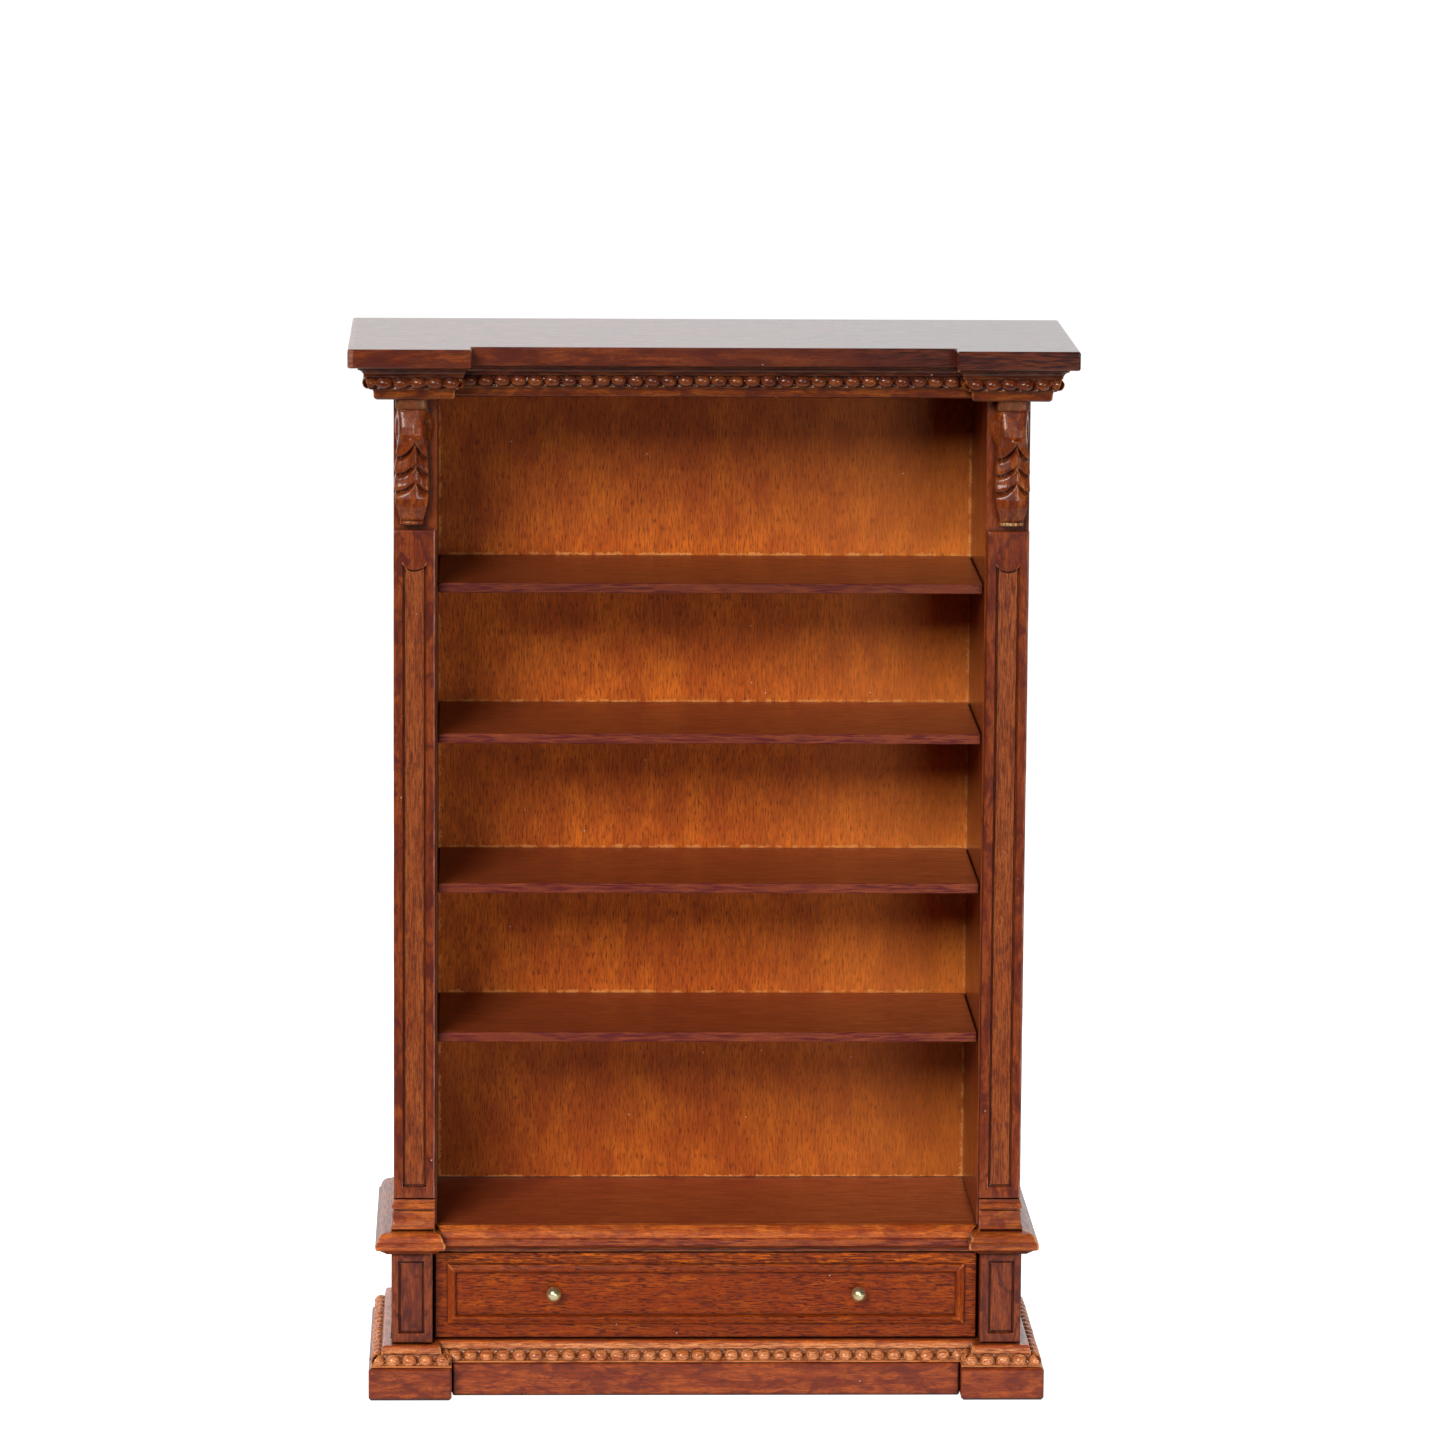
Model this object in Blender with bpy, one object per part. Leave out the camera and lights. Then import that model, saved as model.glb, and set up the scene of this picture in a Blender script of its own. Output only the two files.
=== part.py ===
# A dolls' house bookcase in stained wood: an open case with four fixed shelves between
# panelled pilasters, carved brackets under a pearl-moulded cornice, and one drawer with two
# brass knobs above a pearl-moulded plinth.
# Millimetres in this file, written out as metres. X runs across, -Y is the front, Z is up.
# The origin is on the ground under the middle of the outline.

import math

import bmesh
import bpy
from mathutils import Vector

MM = 0.001
# Gap left between pieces that are glued or stand together
GLUE = 0.1
# Points nearer than this, in metres, are one point
SAME = 1e-7
SHARP_ANGLE = math.radians(35)
SIDES = ((-1, "left"), (1, "right"))

# How far the bevel on the boards' edges takes them off
ARRIS = 0.15
SOFT_ARRIS = 0.25
WORN_ARRIS = 0.4
BEVEL_ANGLE = math.radians(40)

# Whole case
HEIGHT = 180.0
BACK_Y = 24.1
CASE_BACK_Y = 23.3

# Top board, stepped back between the two front blocks
TOP_HALF = 60.7
TOP_FRONT_Y = -24.1
TOP_CENTRE_Y = -19.9
TOP_STEP_X = 40.2
TOP_THICK = 3.2

# Wall planes that the cornice is set out from
CORNICE_SIDE_X = 53.2
CORNICE_FRONT_Y = -16.1
CORNICE_CENTRE_Y = -11.9
CORNICE_RETURN_X = 46.3
CORNICE_BACK_P = -1.5
# Each moulding's mitres start this far out, where its block stops and the plain end begins
CORNICE_MITRE_P = 0.5
CORNICE_INNER_P = 0.4
CORNICE_TOP_Z = HEIGHT - TOP_THICK - GLUE
CORNICE_FOOT_Z = 171.05
# Cornice section as (projection, height): cove, pearl bed, fillet
CORNICE_FACE = [
    (5.85, CORNICE_TOP_Z),
    (5.8, 176.35),
    (5.35, 176.1),
    (4.95, 175.65),
    (4.75, 174.95),
    (3.95, 172.95),
    (3.25, 172.75),
    (3.1, 172.45),
    (3.0, 171.3),
    (2.75, CORNICE_FOOT_Z),
]
CORNICE_BED = ((4.75, 174.95), (3.95, 172.95))

# Upper sides, with an applied pilaster strip on each front edge
SIDE_INNER_X = 45.9
SIDE_OUTER_X = 53.2
SIDE_FRONT_Y = -14.5
SIDE_FOOT_Z = 29.4
STRIP_INNER_X = 46.2
STRIP_FACE_Y = -16.1
STRIP_FOOT_Z = 35.4
STRIP_TOP_Z = 148.8
SUNK_INNER_X = 47.8
SUNK_OUTER_X = 51.6
SUNK_FOOT_Z = 36.9
SUNK_TOP_Z = 143.2
SUNK_SCALLOP = 1.2
SUNK_DEPTH = 0.7
SUNK_TAPER = 0.15
SCALLOP_STEPS = 8
CUTTER_PROUD = 0.5

# Pilaster foot: height, then how far it stands proud of the strip
FOOT_STEPS = [
    (29.75, 0.55),
    (29.95, 0.7),
    (30.2, 0.6),
    (31.2, 0.32),
    (32.4, 0.2),
    (33.2, 0.18),
    (33.4, 0.05),
    (33.6, 0.1),
    (33.75, 0.38),
    (34.6, 0.35),
    (34.85, 0.15),
    (35.3, 0.02),
]
FOOT_SIDE_SHARE = 0.6

# Carved bracket: z at the middle, how far each row drops at its sides, half width,
# half width at the back, projection from the side's front edge
BRACKET_X = 50.15
BRACKET_ROWS = [
    (170.95, 0.0, 2.65, 2.75, 3.7),
    (169.35, 0.0, 2.65, 2.75, 3.7),
    (169.3, 0.0, 2.35, 2.9, 3.6),
    (168.9, 0.0, 2.3, 3.2, 4.0),
    (167.2, 0.0, 2.05, 3.3, 4.3),
    (165.6, 0.0, 1.85, 3.3, 4.1),
    (164.0, 0.4, 1.95, 3.2, 3.85),
    (162.6, 1.7, 2.45, 3.05, 3.75),
    (162.3, 1.8, 2.45, 3.05, 3.35),
    (160.0, 2.6, 2.85, 3.0, 3.55),
    (159.7, 2.7, 2.8, 3.0, 3.1),
    (157.6, 2.7, 2.9, 3.0, 3.5),
    (157.3, 2.7, 2.8, 3.0, 3.05),
    (155.0, 0.9, 2.85, 2.9, 3.4),
    (153.3, 0.3, 2.65, 2.75, 3.45),
    (151.8, 0.0, 2.2, 2.4, 3.0),
    (150.6, 0.0, 1.9, 2.1, 2.35),
    (150.45, 0.0, 1.8, 2.0, 2.95),
    (149.9, 0.0, 1.8, 2.0, 2.95),
]
BRACKET_ACROSS = (-1.0, -0.6, 0.0, 0.6, 1.0)
BRACKET_ROUND = 0.55

# Shelves and back
SHELF_THICK = 1.7
SHELF_FRONT_Y = -11.8
SHELF_TOPS = (62.3, 88.0, 113.65, 139.3)
PANEL_FRONT_Y = 21.6
PANEL_THICK = 1.6
PANEL_REBATE = 1.5
DECK_TOP_Z = 29.3
DECK_FRONT_Y = -12.4

# Moulding round the waist and along the deck's front edge
WAIST_SIDE_X = 53.4
WAIST_FRONT_Y = -16.2
WAIST_CENTRE_Y = -12.8
WAIST_RETURN_X = 47.35
WAIST_FOOT_Z = 24.95
WAIST_TOP_Z = 29.65
WAIST_MITRE_P = 0.95
WAIST_INNER_P = 0.85
NOSING_BACK_P = -0.3
WAIST_FACE = [
    (0.75, WAIST_TOP_Z),
    (1.35, DECK_TOP_Z),
    (1.9, 28.75),
    (2.35, 28.0),
    (2.55, 27.35),
    (2.8, 27.15),
    (2.95, 26.85),
    (2.95, 26.35),
    (2.75, 25.95),
    (2.2, 25.8),
    (1.6, 25.5),
    (1.2, 25.1),
    (1.05, WAIST_FOOT_Z),
]
NOSING_FOOT_Z = 24.5
NOSING_FACE = [point for point in WAIST_FACE if DECK_TOP_Z >= point[1] > 25.4] + [
    (0.9, 25.2),
    (0.5, 25.05),
    (0.5, NOSING_FOOT_Z),
]

# Lower case round the drawer
LOWER_INNER_X = 46.6
LOWER_OUTER_X = 53.35
PEDESTAL_OUTER_X = 53.6
PEDESTAL_FACE_Y = -16.3
PEDESTAL_TOP_Z = 24.85
PEDESTAL_SUNK = (48.1, 52.35, 10.9, 23.4)
FLOOR_TOP_Z = 9.05
FLOOR_FOOT_Z = 5.8

# Pearl moulding above the plinth
BASE_SIDE_X = 53.7
BASE_FRONT_Y = -16.25
BASE_CENTRE_Y = -12.75
BASE_RETURN_X = 46.65
BASE_FACE = [
    (1.05, FLOOR_TOP_Z),
    (1.25, 8.9),
    (1.5, 7.8),
    (1.6, 7.65),
    (3.3, 5.95),
    (3.3, 5.76),
]
BASE_BED = ((1.6, 7.65), (3.3, 5.95))

# Plinth
PLINTH_TOP_Z = 5.66
PLINTH_SIDE_X = 57.45
PLINTH_FRONT_Y = -20.0
PLINTH_CENTRE_Y = -16.5
PLINTH_INNER_X = 43.35
PLINTH_BLOCK_BACK_Y = -12.8
PLINTH_RAIL = 7.0
PLINTH_CENTRE_THICK = 3.5
PLINTH_LAP = 1.0
PLINTH_LAP_Y = -14.6

# Pearls: pitch, crest height, then the share of it along one pitch and across the bed
PEARL_PITCH = 2.78
PEARL_HEIGHT = 0.8
PEARL_SHAPE = ((-0.5, 0.0), (-0.3, 0.72), (0.0, 1.0), (0.3, 0.72))
PEARL_ACROSS = ((0.25, 0.87), (0.75, 0.87))

# Drawer
DRAWER_HALF = 46.2
DRAWER_FACE_Y = -12.8
DRAWER_FRONT_THICK = 2.0
DRAWER_FOOT_Z = 9.25
DRAWER_TOP_Z = 24.2
DRAWER_BOX_HALF = 46.0
DRAWER_BOX_BACK_Y = 18.0
DRAWER_BOX_FOOT_Z = 9.15
DRAWER_BOX_TOP_Z = 21.5
DRAWER_WALL = 1.5
DRAWER_BOTTOM = (9.35, 10.35)
FRAME_HALF = 44.1
FRAME_Z = (11.8, 22.2)
# Frame strip section as (distance in from its outer edge, height off the drawer front)
FRAME_FACE = [(0.0, 0.03), (0.0, 0.4), (0.25, 0.68), (0.8, 0.85), (1.25, 0.8), (1.5, 0.5), (1.5, 0.03)]

# Knob: radius and distance out from the drawer front, from the pin's tip to the ball's pole
KNOB_X = 26.0
KNOB_Z = 17.3
KNOB_TURNS = 14
KNOB_FACE = [
    (0.0, -1.5),
    (0.35, -1.5),
    (0.35, 0.05),
    (0.75, 0.05),
    (0.7, 0.35),
    (0.5, 0.6),
    (0.85, 0.95),
    (1.2, 1.4),
    (1.3, 1.9),
    (1.15, 2.5),
    (0.7, 3.0),
    (0.0, 3.2),
]
PIN_HOLE_R = 0.42
PIN_HOLE_DEPTH = 1.6

# Colour, roughness and metallic
HONEY = ((0.42, 0.15, 0.045), 0.38, 0.0)
RUSSET = ((0.27, 0.075, 0.032), 0.38, 0.0)
SHADE = ((0.2, 0.06, 0.028), 0.42, 0.0)
PLY = ((0.4, 0.15, 0.05), 0.5, 0.0)
BRASS = ((0.8, 0.62, 0.3), 0.22, 1.0)


def clear_scene():
    for thing in list(bpy.data.objects):
        bpy.data.objects.remove(thing, do_unlink=True)


def material_for(name, look):
    colour, roughness, metallic = look
    material = bpy.data.materials.new(name)
    material.use_nodes = True
    shader = material.node_tree.nodes["Principled BSDF"]
    shader.inputs["Base Color"].default_value = (*colour, 1.0)
    shader.inputs["Roughness"].default_value = roughness
    shader.inputs["Metallic"].default_value = metallic
    material.diffuse_color = (*colour, 1.0)
    return material


def add_piece(name, points, faces, look, rounded=False):
    """One closed solid from points in millimetres, with its origin at its middle."""
    lows = Vector([min(point[k] for point in points) for k in range(3)])
    highs = Vector([max(point[k] for point in points) for k in range(3)])
    middle = (lows + highs) / 2
    shell = bmesh.new()
    corners = [shell.verts.new((Vector(point) - middle) * MM) for point in points]
    for face in faces:
        shell.faces.new([corners[i] for i in face])
    return place_piece(name, shell, middle, look, rounded=rounded)


def place_piece(name, shell, place, look, bevel=0.0, rounded=False):
    """Turns a shell into a named object at a place in millimetres."""
    bmesh.ops.recalc_face_normals(shell, faces=shell.faces)
    mesh = bpy.data.meshes.new(name)
    shell.to_mesh(mesh)
    shell.free()
    if rounded:
        mesh.shade_smooth()
        mesh.set_sharp_from_angle(angle=SHARP_ANGLE)
    piece = bpy.data.objects.new(name, mesh)
    piece.location = Vector(place) * MM
    bpy.context.scene.collection.objects.link(piece)
    if look is not None:
        mesh.materials.append(material_for(name, look))
    if bevel:
        soften = piece.modifiers.new("soft_edges", "BEVEL")
        soften.width = bevel * MM
        soften.segments = 1
        soften.limit_method = "ANGLE"
        soften.angle_limit = BEVEL_ANGLE
    return piece


def gather(name, place):
    """Empty at a place in millimetres, which takes every piece that has no parent yet."""
    loose = [thing for thing in bpy.data.objects if thing.type == "MESH" and thing.parent is None]
    holder = bpy.data.objects.new(name, None)
    holder.location = Vector(place) * MM
    bpy.context.scene.collection.objects.link(holder)
    for piece in loose:
        piece.parent = holder
        piece.location -= holder.location


def add_prism(name, outline, axis, low, high, look, bevel=0.0):
    """Outline pushed straight along X, Y or Z from low to high."""
    place = {
        "X": lambda a, b, c: (c, a, b),
        "Y": lambda a, b, c: (a, c, b),
        "Z": lambda a, b, c: (a, b, c),
    }[axis]
    middle = [(min(values) + max(values)) / 2 for values in zip(*outline)]
    shell = bmesh.new()
    corners = [Vector(place(a - middle[0], b - middle[1], (low - high) / 2)) * MM for a, b in outline]
    end = shell.faces.new([shell.verts.new(corner) for corner in corners])
    made = bmesh.ops.extrude_face_region(shell, geom=[end])["geom"]
    moved = [thing for thing in made if isinstance(thing, bmesh.types.BMVert)]
    bmesh.ops.translate(shell, vec=Vector(place(0, 0, high - low)) * MM, verts=moved)
    return place_piece(name, shell, place(*middle, (low + high) / 2), look, bevel)


def add_box(name, x, y, z, look, bevel=0.0):
    """Block between two values on each axis."""
    shell = bmesh.new()
    bmesh.ops.create_cube(shell, size=MM)
    bmesh.ops.scale(shell, vec=[high - low for low, high in (x, y, z)], verts=shell.verts)
    middle = [(low + high) / 2 for low, high in (x, y, z)]
    return place_piece(name, shell, middle, look, bevel)


def add_lathe(name, section, turns, place, look):
    """Section of (radius, distance out) turned about an axis along -Y through a place."""
    shell = bmesh.new()
    corners = [shell.verts.new((radius * MM, -out * MM, 0.0)) for radius, out in section]
    edges = [shell.edges.new(pair) for pair in zip(corners, corners[1:])]
    turned = {"cent": (0, 0, 0), "axis": (0, 1, 0), "angle": 2 * math.pi, "steps": turns}
    bmesh.ops.spin(shell, geom=corners + edges, use_merge=True, **turned)
    bmesh.ops.remove_doubles(shell, verts=shell.verts, dist=SAME)
    return place_piece(name, shell, place, look, rounded=True)


def add_cutter(name, wide, face_y, depth):
    """Tapered block that sinks a panel into a face that looks along -Y."""
    proud = [(x, face_y - CUTTER_PROUD, z) for x, z in wide]
    sunk = [(x, face_y + depth, z) for x, z in inset(wide, SUNK_TAPER)]
    return as_cutter(add_piece(name, proud + sunk, loft_faces(2, len(wide)), None))


def as_cutter(piece):
    piece.hide_render = True
    piece.display_type = "WIRE"
    return piece


def cut(piece, cutter):
    sink = piece.modifiers.new(cutter.name, "BOOLEAN")
    sink.operation = "DIFFERENCE"
    sink.solver = "EXACT"
    sink.object = cutter


def spans(low, high, side):
    """A span in X, or its mirror image on the left."""
    return (-high, -low) if side < 0 else (low, high)


def handed(outline, side):
    """A plan outline drawn for the right, or its mirror image on the left."""
    return [(side * x, y) for x, y in outline]


def loft_faces(levels, around):
    """Faces of a closed skin through rings that have the same number of points."""
    faces = [tuple(range(around))]
    faces.append(tuple(range((levels - 1) * around, levels * around)))
    for level in range(levels - 1):
        low = level * around
        for i in range(around):
            j = (i + 1) % around
            faces.append((low + i, low + j, low + around + j, low + around + i))
    return faces


# Mouldings -----------------------------------------------------------------------------


def kept_beyond(section, least):
    """The part of a closed section whose projection is at least this much."""
    kept = []
    for i, (p, z) in enumerate(section):
        q, w = section[i - 1]
        if (p - least) * (q - least) < 0:
            share = (least - q) / (p - q)
            kept.append((least, w + share * (z - w)))
        if p >= least:
            kept.append((p, z))
    return kept


def split_at(section, at):
    """The same section with a point wherever an edge crosses the given projection."""
    points = []
    for i, (p, z) in enumerate(section):
        q, w = section[i - 1]
        if (p - at) * (q - at) < 0:
            share = (at - q) / (p - q)
            points.append((at, w + share * (z - w)))
        points.append((p, z))
    return points


def cap_faces(section, ring, at):
    """End face of a run: two flat faces that meet where the mitre starts."""
    on_line = [i for i, (p, _) in enumerate(section) if abs(p - at) < 1e-9]
    if len(on_line) != 2:
        return [tuple(ring)]
    low, high = on_line
    near = ring[low : high + 1]
    far = ring[high:] + ring[: low + 1]
    return [tuple(side) for side in (near, far) if len(side) > 2]


def bridge(two, many):
    """Triangles between a two-point edge and a parallel edge with many points."""
    middle = len(many) // 2
    faces = [(two[0], many[i], many[i + 1]) for i in range(middle)]
    faces.append((two[0], many[middle], two[1]))
    faces += [(two[1], many[i], many[i + 1]) for i in range(middle, len(many) - 1)]
    return faces


class Run:
    """A straight length of moulding on a wall line.

    along and out are unit vectors in plan. Each end is (position, mitre, least): the end
    moves out by mitre times the projection, which counts as at least the given amount.
    """

    def __init__(self, wall, along, out, start, end):
        self.wall = wall
        self.along = along
        self.out = out
        self.start = start
        self.end = end

    def start_at(self, p):
        position, mitre, least = self.start
        return position - mitre * max(p, least)

    def end_at(self, p):
        position, mitre, least = self.end
        return position + mitre * max(p, least)

    def place(self, s, p, z):
        x = self.wall[0] + self.along[0] * s + self.out[0] * p
        y = self.wall[1] + self.along[1] * s + self.out[1] * p
        return (x, y, z)


def pearl_stations(run, bed):
    """Places along the run, with the share of full pearl height at each."""
    low = max(run.start_at(bed[0][0]), run.start_at(bed[1][0])) + 2 * GLUE
    high = min(run.end_at(bed[0][0]), run.end_at(bed[1][0])) - 2 * GLUE
    count = int((high - low) / PEARL_PITCH)
    first = (low + high - (count - 1) * PEARL_PITCH) / 2
    stations = []
    for number in range(count):
        middle = first + number * PEARL_PITCH
        stations += [(middle + step * PEARL_PITCH, share) for step, share in PEARL_SHAPE]
    stations.append((first + (count - 0.5) * PEARL_PITCH, 0.0))
    return stations


def pearl_grid(run, bed, stations, points):
    """Adds the pearl surface and returns its rows of point numbers, one row per line."""
    (p0, z0), (p1, z1) = bed
    length = math.hypot(p1 - p0, z1 - z0)
    normal = ((z0 - z1) / length, (p1 - p0) / length)
    across = ((0.0, 0.0), *PEARL_ACROSS, (1.0, 0.0))
    rows = []
    for share, rise in across:
        row = []
        for s, height in stations:
            lift = PEARL_HEIGHT * rise * height
            p = p0 + share * (p1 - p0) + lift * normal[0]
            z = z0 + share * (z1 - z0) + lift * normal[1]
            row.append(len(points))
            points.append(run.place(s, p, z))
        rows.append(row)
    return rows


def add_moulding(name, section, run, look, bed=None):
    """Closed section swept along a run, with a row of pearls on the bed if there is one."""
    for at in {run.start[2], run.end[2]}:
        section = split_at(section, at)
    count = len(section)
    points = [run.place(run.start_at(p), p, z) for p, z in section]
    points += [run.place(run.end_at(p), p, z) for p, z in section]
    starts = list(range(count))
    ends = list(range(count, 2 * count))
    faces = cap_faces(section, starts, run.start[2])
    faces += cap_faces(section, ends, run.end[2])
    pearled = section.index(bed[0]) if bed else None
    rows = pearl_grid(run, bed, pearl_stations(run, bed), points) if bed else None
    for i in range(count):
        j = (i + 1) % count
        if bed is None or (i != pearled and j != pearled and i != (pearled + 1) % count):
            faces.append((starts[i], starts[j], ends[j], ends[i]))
        elif i == pearled:
            faces += pearl_faces(rows, (starts[i], starts[j]), (ends[i], ends[j]))
        elif j == pearled:
            faces += bridge((starts[i], ends[i]), [starts[j], *rows[0], ends[j]])
        else:
            faces += bridge((starts[j], ends[j]), [starts[i], *rows[-1], ends[i]])
    return add_piece(name, points, faces, look, rounded=True)


def pearl_faces(rows, start_edge, end_edge):
    faces = []
    for low, high in zip(rows, rows[1:]):
        for i in range(len(low) - 1):
            faces.append((low[i], low[i + 1], high[i + 1], high[i]))
    faces += bridge(start_edge, [row[0] for row in rows])
    faces += bridge(end_edge, [row[-1] for row in rows])
    return faces


def section_of(face, back):
    """Closed section from a face and a flat back at the given projection."""
    return [(back, face[0][1]), *face, (back, face[-1][1])]


def side_run(side, wall_x, front_y, back_y, least):
    start = (front_y + GLUE / 2, 1, least)
    return Run((side * wall_x, 0.0), (0, 1), (side, 0), start, (back_y, 0, least))


def front_run(side, outer_x, return_x, front_y, inner_least):
    outer = (side * outer_x, 1, 0.0)
    inner = (side * return_x, 1, inner_least)
    ends = (inner, outer) if side > 0 else (outer, inner)
    first = (ends[0][0] + GLUE / 2, 1, ends[0][2])
    last = (ends[1][0] - GLUE / 2, 1, ends[1][2])
    return Run((0.0, front_y), (1, 0), (0, -1), first, last)


def return_run(side, return_x, front_y, centre_y, least):
    start = (front_y + GLUE / 2, 1, least)
    end = (centre_y - GLUE / 2, -1, least)
    return Run((side * return_x, 0.0), (0, 1), (-side, 0), start, end)


def centre_run(return_x, centre_y, least):
    start = (-return_x + GLUE / 2, -1, least)
    end = (return_x - GLUE / 2, -1, least)
    return Run((0.0, centre_y), (1, 0), (0, -1), start, end)


def add_cornice():
    deep = section_of(CORNICE_FACE, CORNICE_BACK_P)
    thin = section_of(CORNICE_FACE, GLUE)
    trimmed = section_of(CORNICE_FACE, CORNICE_MITRE_P)
    run = centre_run(CORNICE_RETURN_X, CORNICE_CENTRE_Y, CORNICE_MITRE_P)
    add_moulding("cornice_centre", deep, run, HONEY, CORNICE_BED)
    for side, word in SIDES:
        run = side_run(side, CORNICE_SIDE_X, CORNICE_FRONT_Y, CASE_BACK_Y, GLUE)
        add_moulding("cornice_side_" + word, thin, run, HONEY, CORNICE_BED)
        run = front_run(side, CORNICE_SIDE_X, CORNICE_RETURN_X, CORNICE_FRONT_Y, CORNICE_INNER_P)
        add_moulding("cornice_front_" + word, deep, run, HONEY, CORNICE_BED)
        run = return_run(side, CORNICE_RETURN_X, CORNICE_FRONT_Y, CORNICE_CENTRE_Y, CORNICE_MITRE_P)
        add_moulding("cornice_return_" + word, trimmed, run, HONEY, CORNICE_BED)


def add_waist():
    front = section_of(WAIST_FACE, WAIST_FRONT_Y - SIDE_FRONT_Y + GLUE)
    thin = section_of(WAIST_FACE, GLUE)
    inner = kept_beyond(section_of(WAIST_FACE[1:], 0.0), WAIST_MITRE_P)
    for side, word in SIDES:
        run = side_run(side, WAIST_SIDE_X, WAIST_FRONT_Y, CASE_BACK_Y, GLUE)
        add_moulding("waist_side_" + word, thin, run, HONEY)
        run = front_run(side, WAIST_SIDE_X, WAIST_RETURN_X, WAIST_FRONT_Y, WAIST_INNER_P)
        add_moulding("waist_front_" + word, front, run, HONEY)
        run = return_run(side, WAIST_RETURN_X, WAIST_FRONT_Y, WAIST_CENTRE_Y, WAIST_MITRE_P)
        add_moulding("waist_return_" + word, inner, run, HONEY)


def add_deck_nosing():
    run = centre_run(WAIST_RETURN_X, WAIST_CENTRE_Y, WAIST_MITRE_P)
    add_moulding("deck_nosing", section_of(NOSING_FACE, NOSING_BACK_P), run, HONEY)


def add_base_moulding():
    front = section_of(BASE_FACE, BASE_FRONT_Y - PLINTH_BLOCK_BACK_Y - GLUE)
    thin = section_of(BASE_FACE, GLUE / 2)
    run = centre_run(BASE_RETURN_X, BASE_CENTRE_Y, GLUE / 2)
    add_moulding("base_centre", section_of(BASE_FACE, 0.0), run, HONEY, BASE_BED)
    for side, word in SIDES:
        run = side_run(side, BASE_SIDE_X, BASE_FRONT_Y, CASE_BACK_Y, GLUE / 2)
        add_moulding("base_side_" + word, thin, run, HONEY, BASE_BED)
        run = front_run(side, BASE_SIDE_X, BASE_RETURN_X, BASE_FRONT_Y, 0.0)
        add_moulding("base_front_" + word, front, run, HONEY, BASE_BED)
        run = return_run(side, BASE_RETURN_X, BASE_FRONT_Y, BASE_CENTRE_Y, GLUE / 2)
        add_moulding("base_return_" + word, thin, run, HONEY, BASE_BED)


# Boards --------------------------------------------------------------------------------


def add_top_board():
    outline = [
        (-TOP_HALF, TOP_FRONT_Y),
        (-TOP_STEP_X, TOP_FRONT_Y),
        (-TOP_STEP_X, TOP_CENTRE_Y),
        (TOP_STEP_X, TOP_CENTRE_Y),
        (TOP_STEP_X, TOP_FRONT_Y),
        (TOP_HALF, TOP_FRONT_Y),
        (TOP_HALF, BACK_Y),
        (-TOP_HALF, BACK_Y),
    ]
    add_prism("top_board", outline, "Z", HEIGHT - TOP_THICK, HEIGHT, RUSSET, SOFT_ARRIS)


def rebated(inner_x, outer_x):
    """Plan of a side board, with a rebate in its back inner edge for the back panel."""
    panel_y = PANEL_FRONT_Y - GLUE
    return [
        (inner_x, SIDE_FRONT_Y),
        (outer_x, SIDE_FRONT_Y),
        (outer_x, CASE_BACK_Y),
        (inner_x + PANEL_REBATE, CASE_BACK_Y),
        (inner_x + PANEL_REBATE, panel_y),
        (inner_x, panel_y),
    ]


def add_case_boards():
    upper_z = (SIDE_FOOT_Z, CORNICE_TOP_Z)
    lower_z = (FLOOR_TOP_Z + GLUE, DECK_TOP_Z - SHELF_THICK - GLUE)
    panel_y = (PANEL_FRONT_Y, PANEL_FRONT_Y + PANEL_THICK)
    for side, word in SIDES:
        plan = handed(rebated(SIDE_INNER_X, SIDE_OUTER_X), side)
        add_prism("upper_side_" + word, plan, "Z", *upper_z, RUSSET, ARRIS)
        plan = handed(rebated(LOWER_INNER_X, LOWER_OUTER_X), side)
        add_prism("lower_side_" + word, plan, "Z", *lower_z, RUSSET, ARRIS)
    half = SIDE_INNER_X + PANEL_REBATE - GLUE
    add_box("upper_back", (-half, half), panel_y, upper_z, PLY)
    half = LOWER_INNER_X + PANEL_REBATE - GLUE
    add_box("lower_back", (-half, half), panel_y, lower_z, PLY)
    half = BASE_SIDE_X - 2 * GLUE
    floor_y = (PLINTH_BLOCK_BACK_Y + 2 * GLUE, CASE_BACK_Y)
    add_box("case_floor", (-half, half), floor_y, (FLOOR_FOOT_Z, FLOOR_TOP_Z), SHADE, ARRIS)


def add_deck():
    step = LOWER_INNER_X - GLUE
    half = SIDE_OUTER_X
    outline = [
        (-half, SIDE_FRONT_Y),
        (-step, SIDE_FRONT_Y),
        (-step, DECK_FRONT_Y),
        (step, DECK_FRONT_Y),
        (step, SIDE_FRONT_Y),
        (half, SIDE_FRONT_Y),
        (half, CASE_BACK_Y),
        (-half, CASE_BACK_Y),
    ]
    add_prism("deck_shelf", outline, "Z", DECK_TOP_Z - SHELF_THICK, DECK_TOP_Z, SHADE)


def add_shelves():
    half = SIDE_INNER_X - GLUE
    y = (SHELF_FRONT_Y, PANEL_FRONT_Y - GLUE)
    for number, top in enumerate(SHELF_TOPS, 1):
        add_box("shelf_%d" % number, (-half, half), y, (top - SHELF_THICK, top), SHADE, ARRIS)


def scalloped(inner, outer, foot, top, drop):
    """Panel outline whose top edge bulges down by drop in the middle."""
    points = [(inner, foot), (outer, foot)]
    for step in range(SCALLOP_STEPS + 1):
        share = step / SCALLOP_STEPS
        x = outer + (inner - outer) * share
        points.append((x, top - drop * math.sin(math.pi * share)))
    return points


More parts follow.
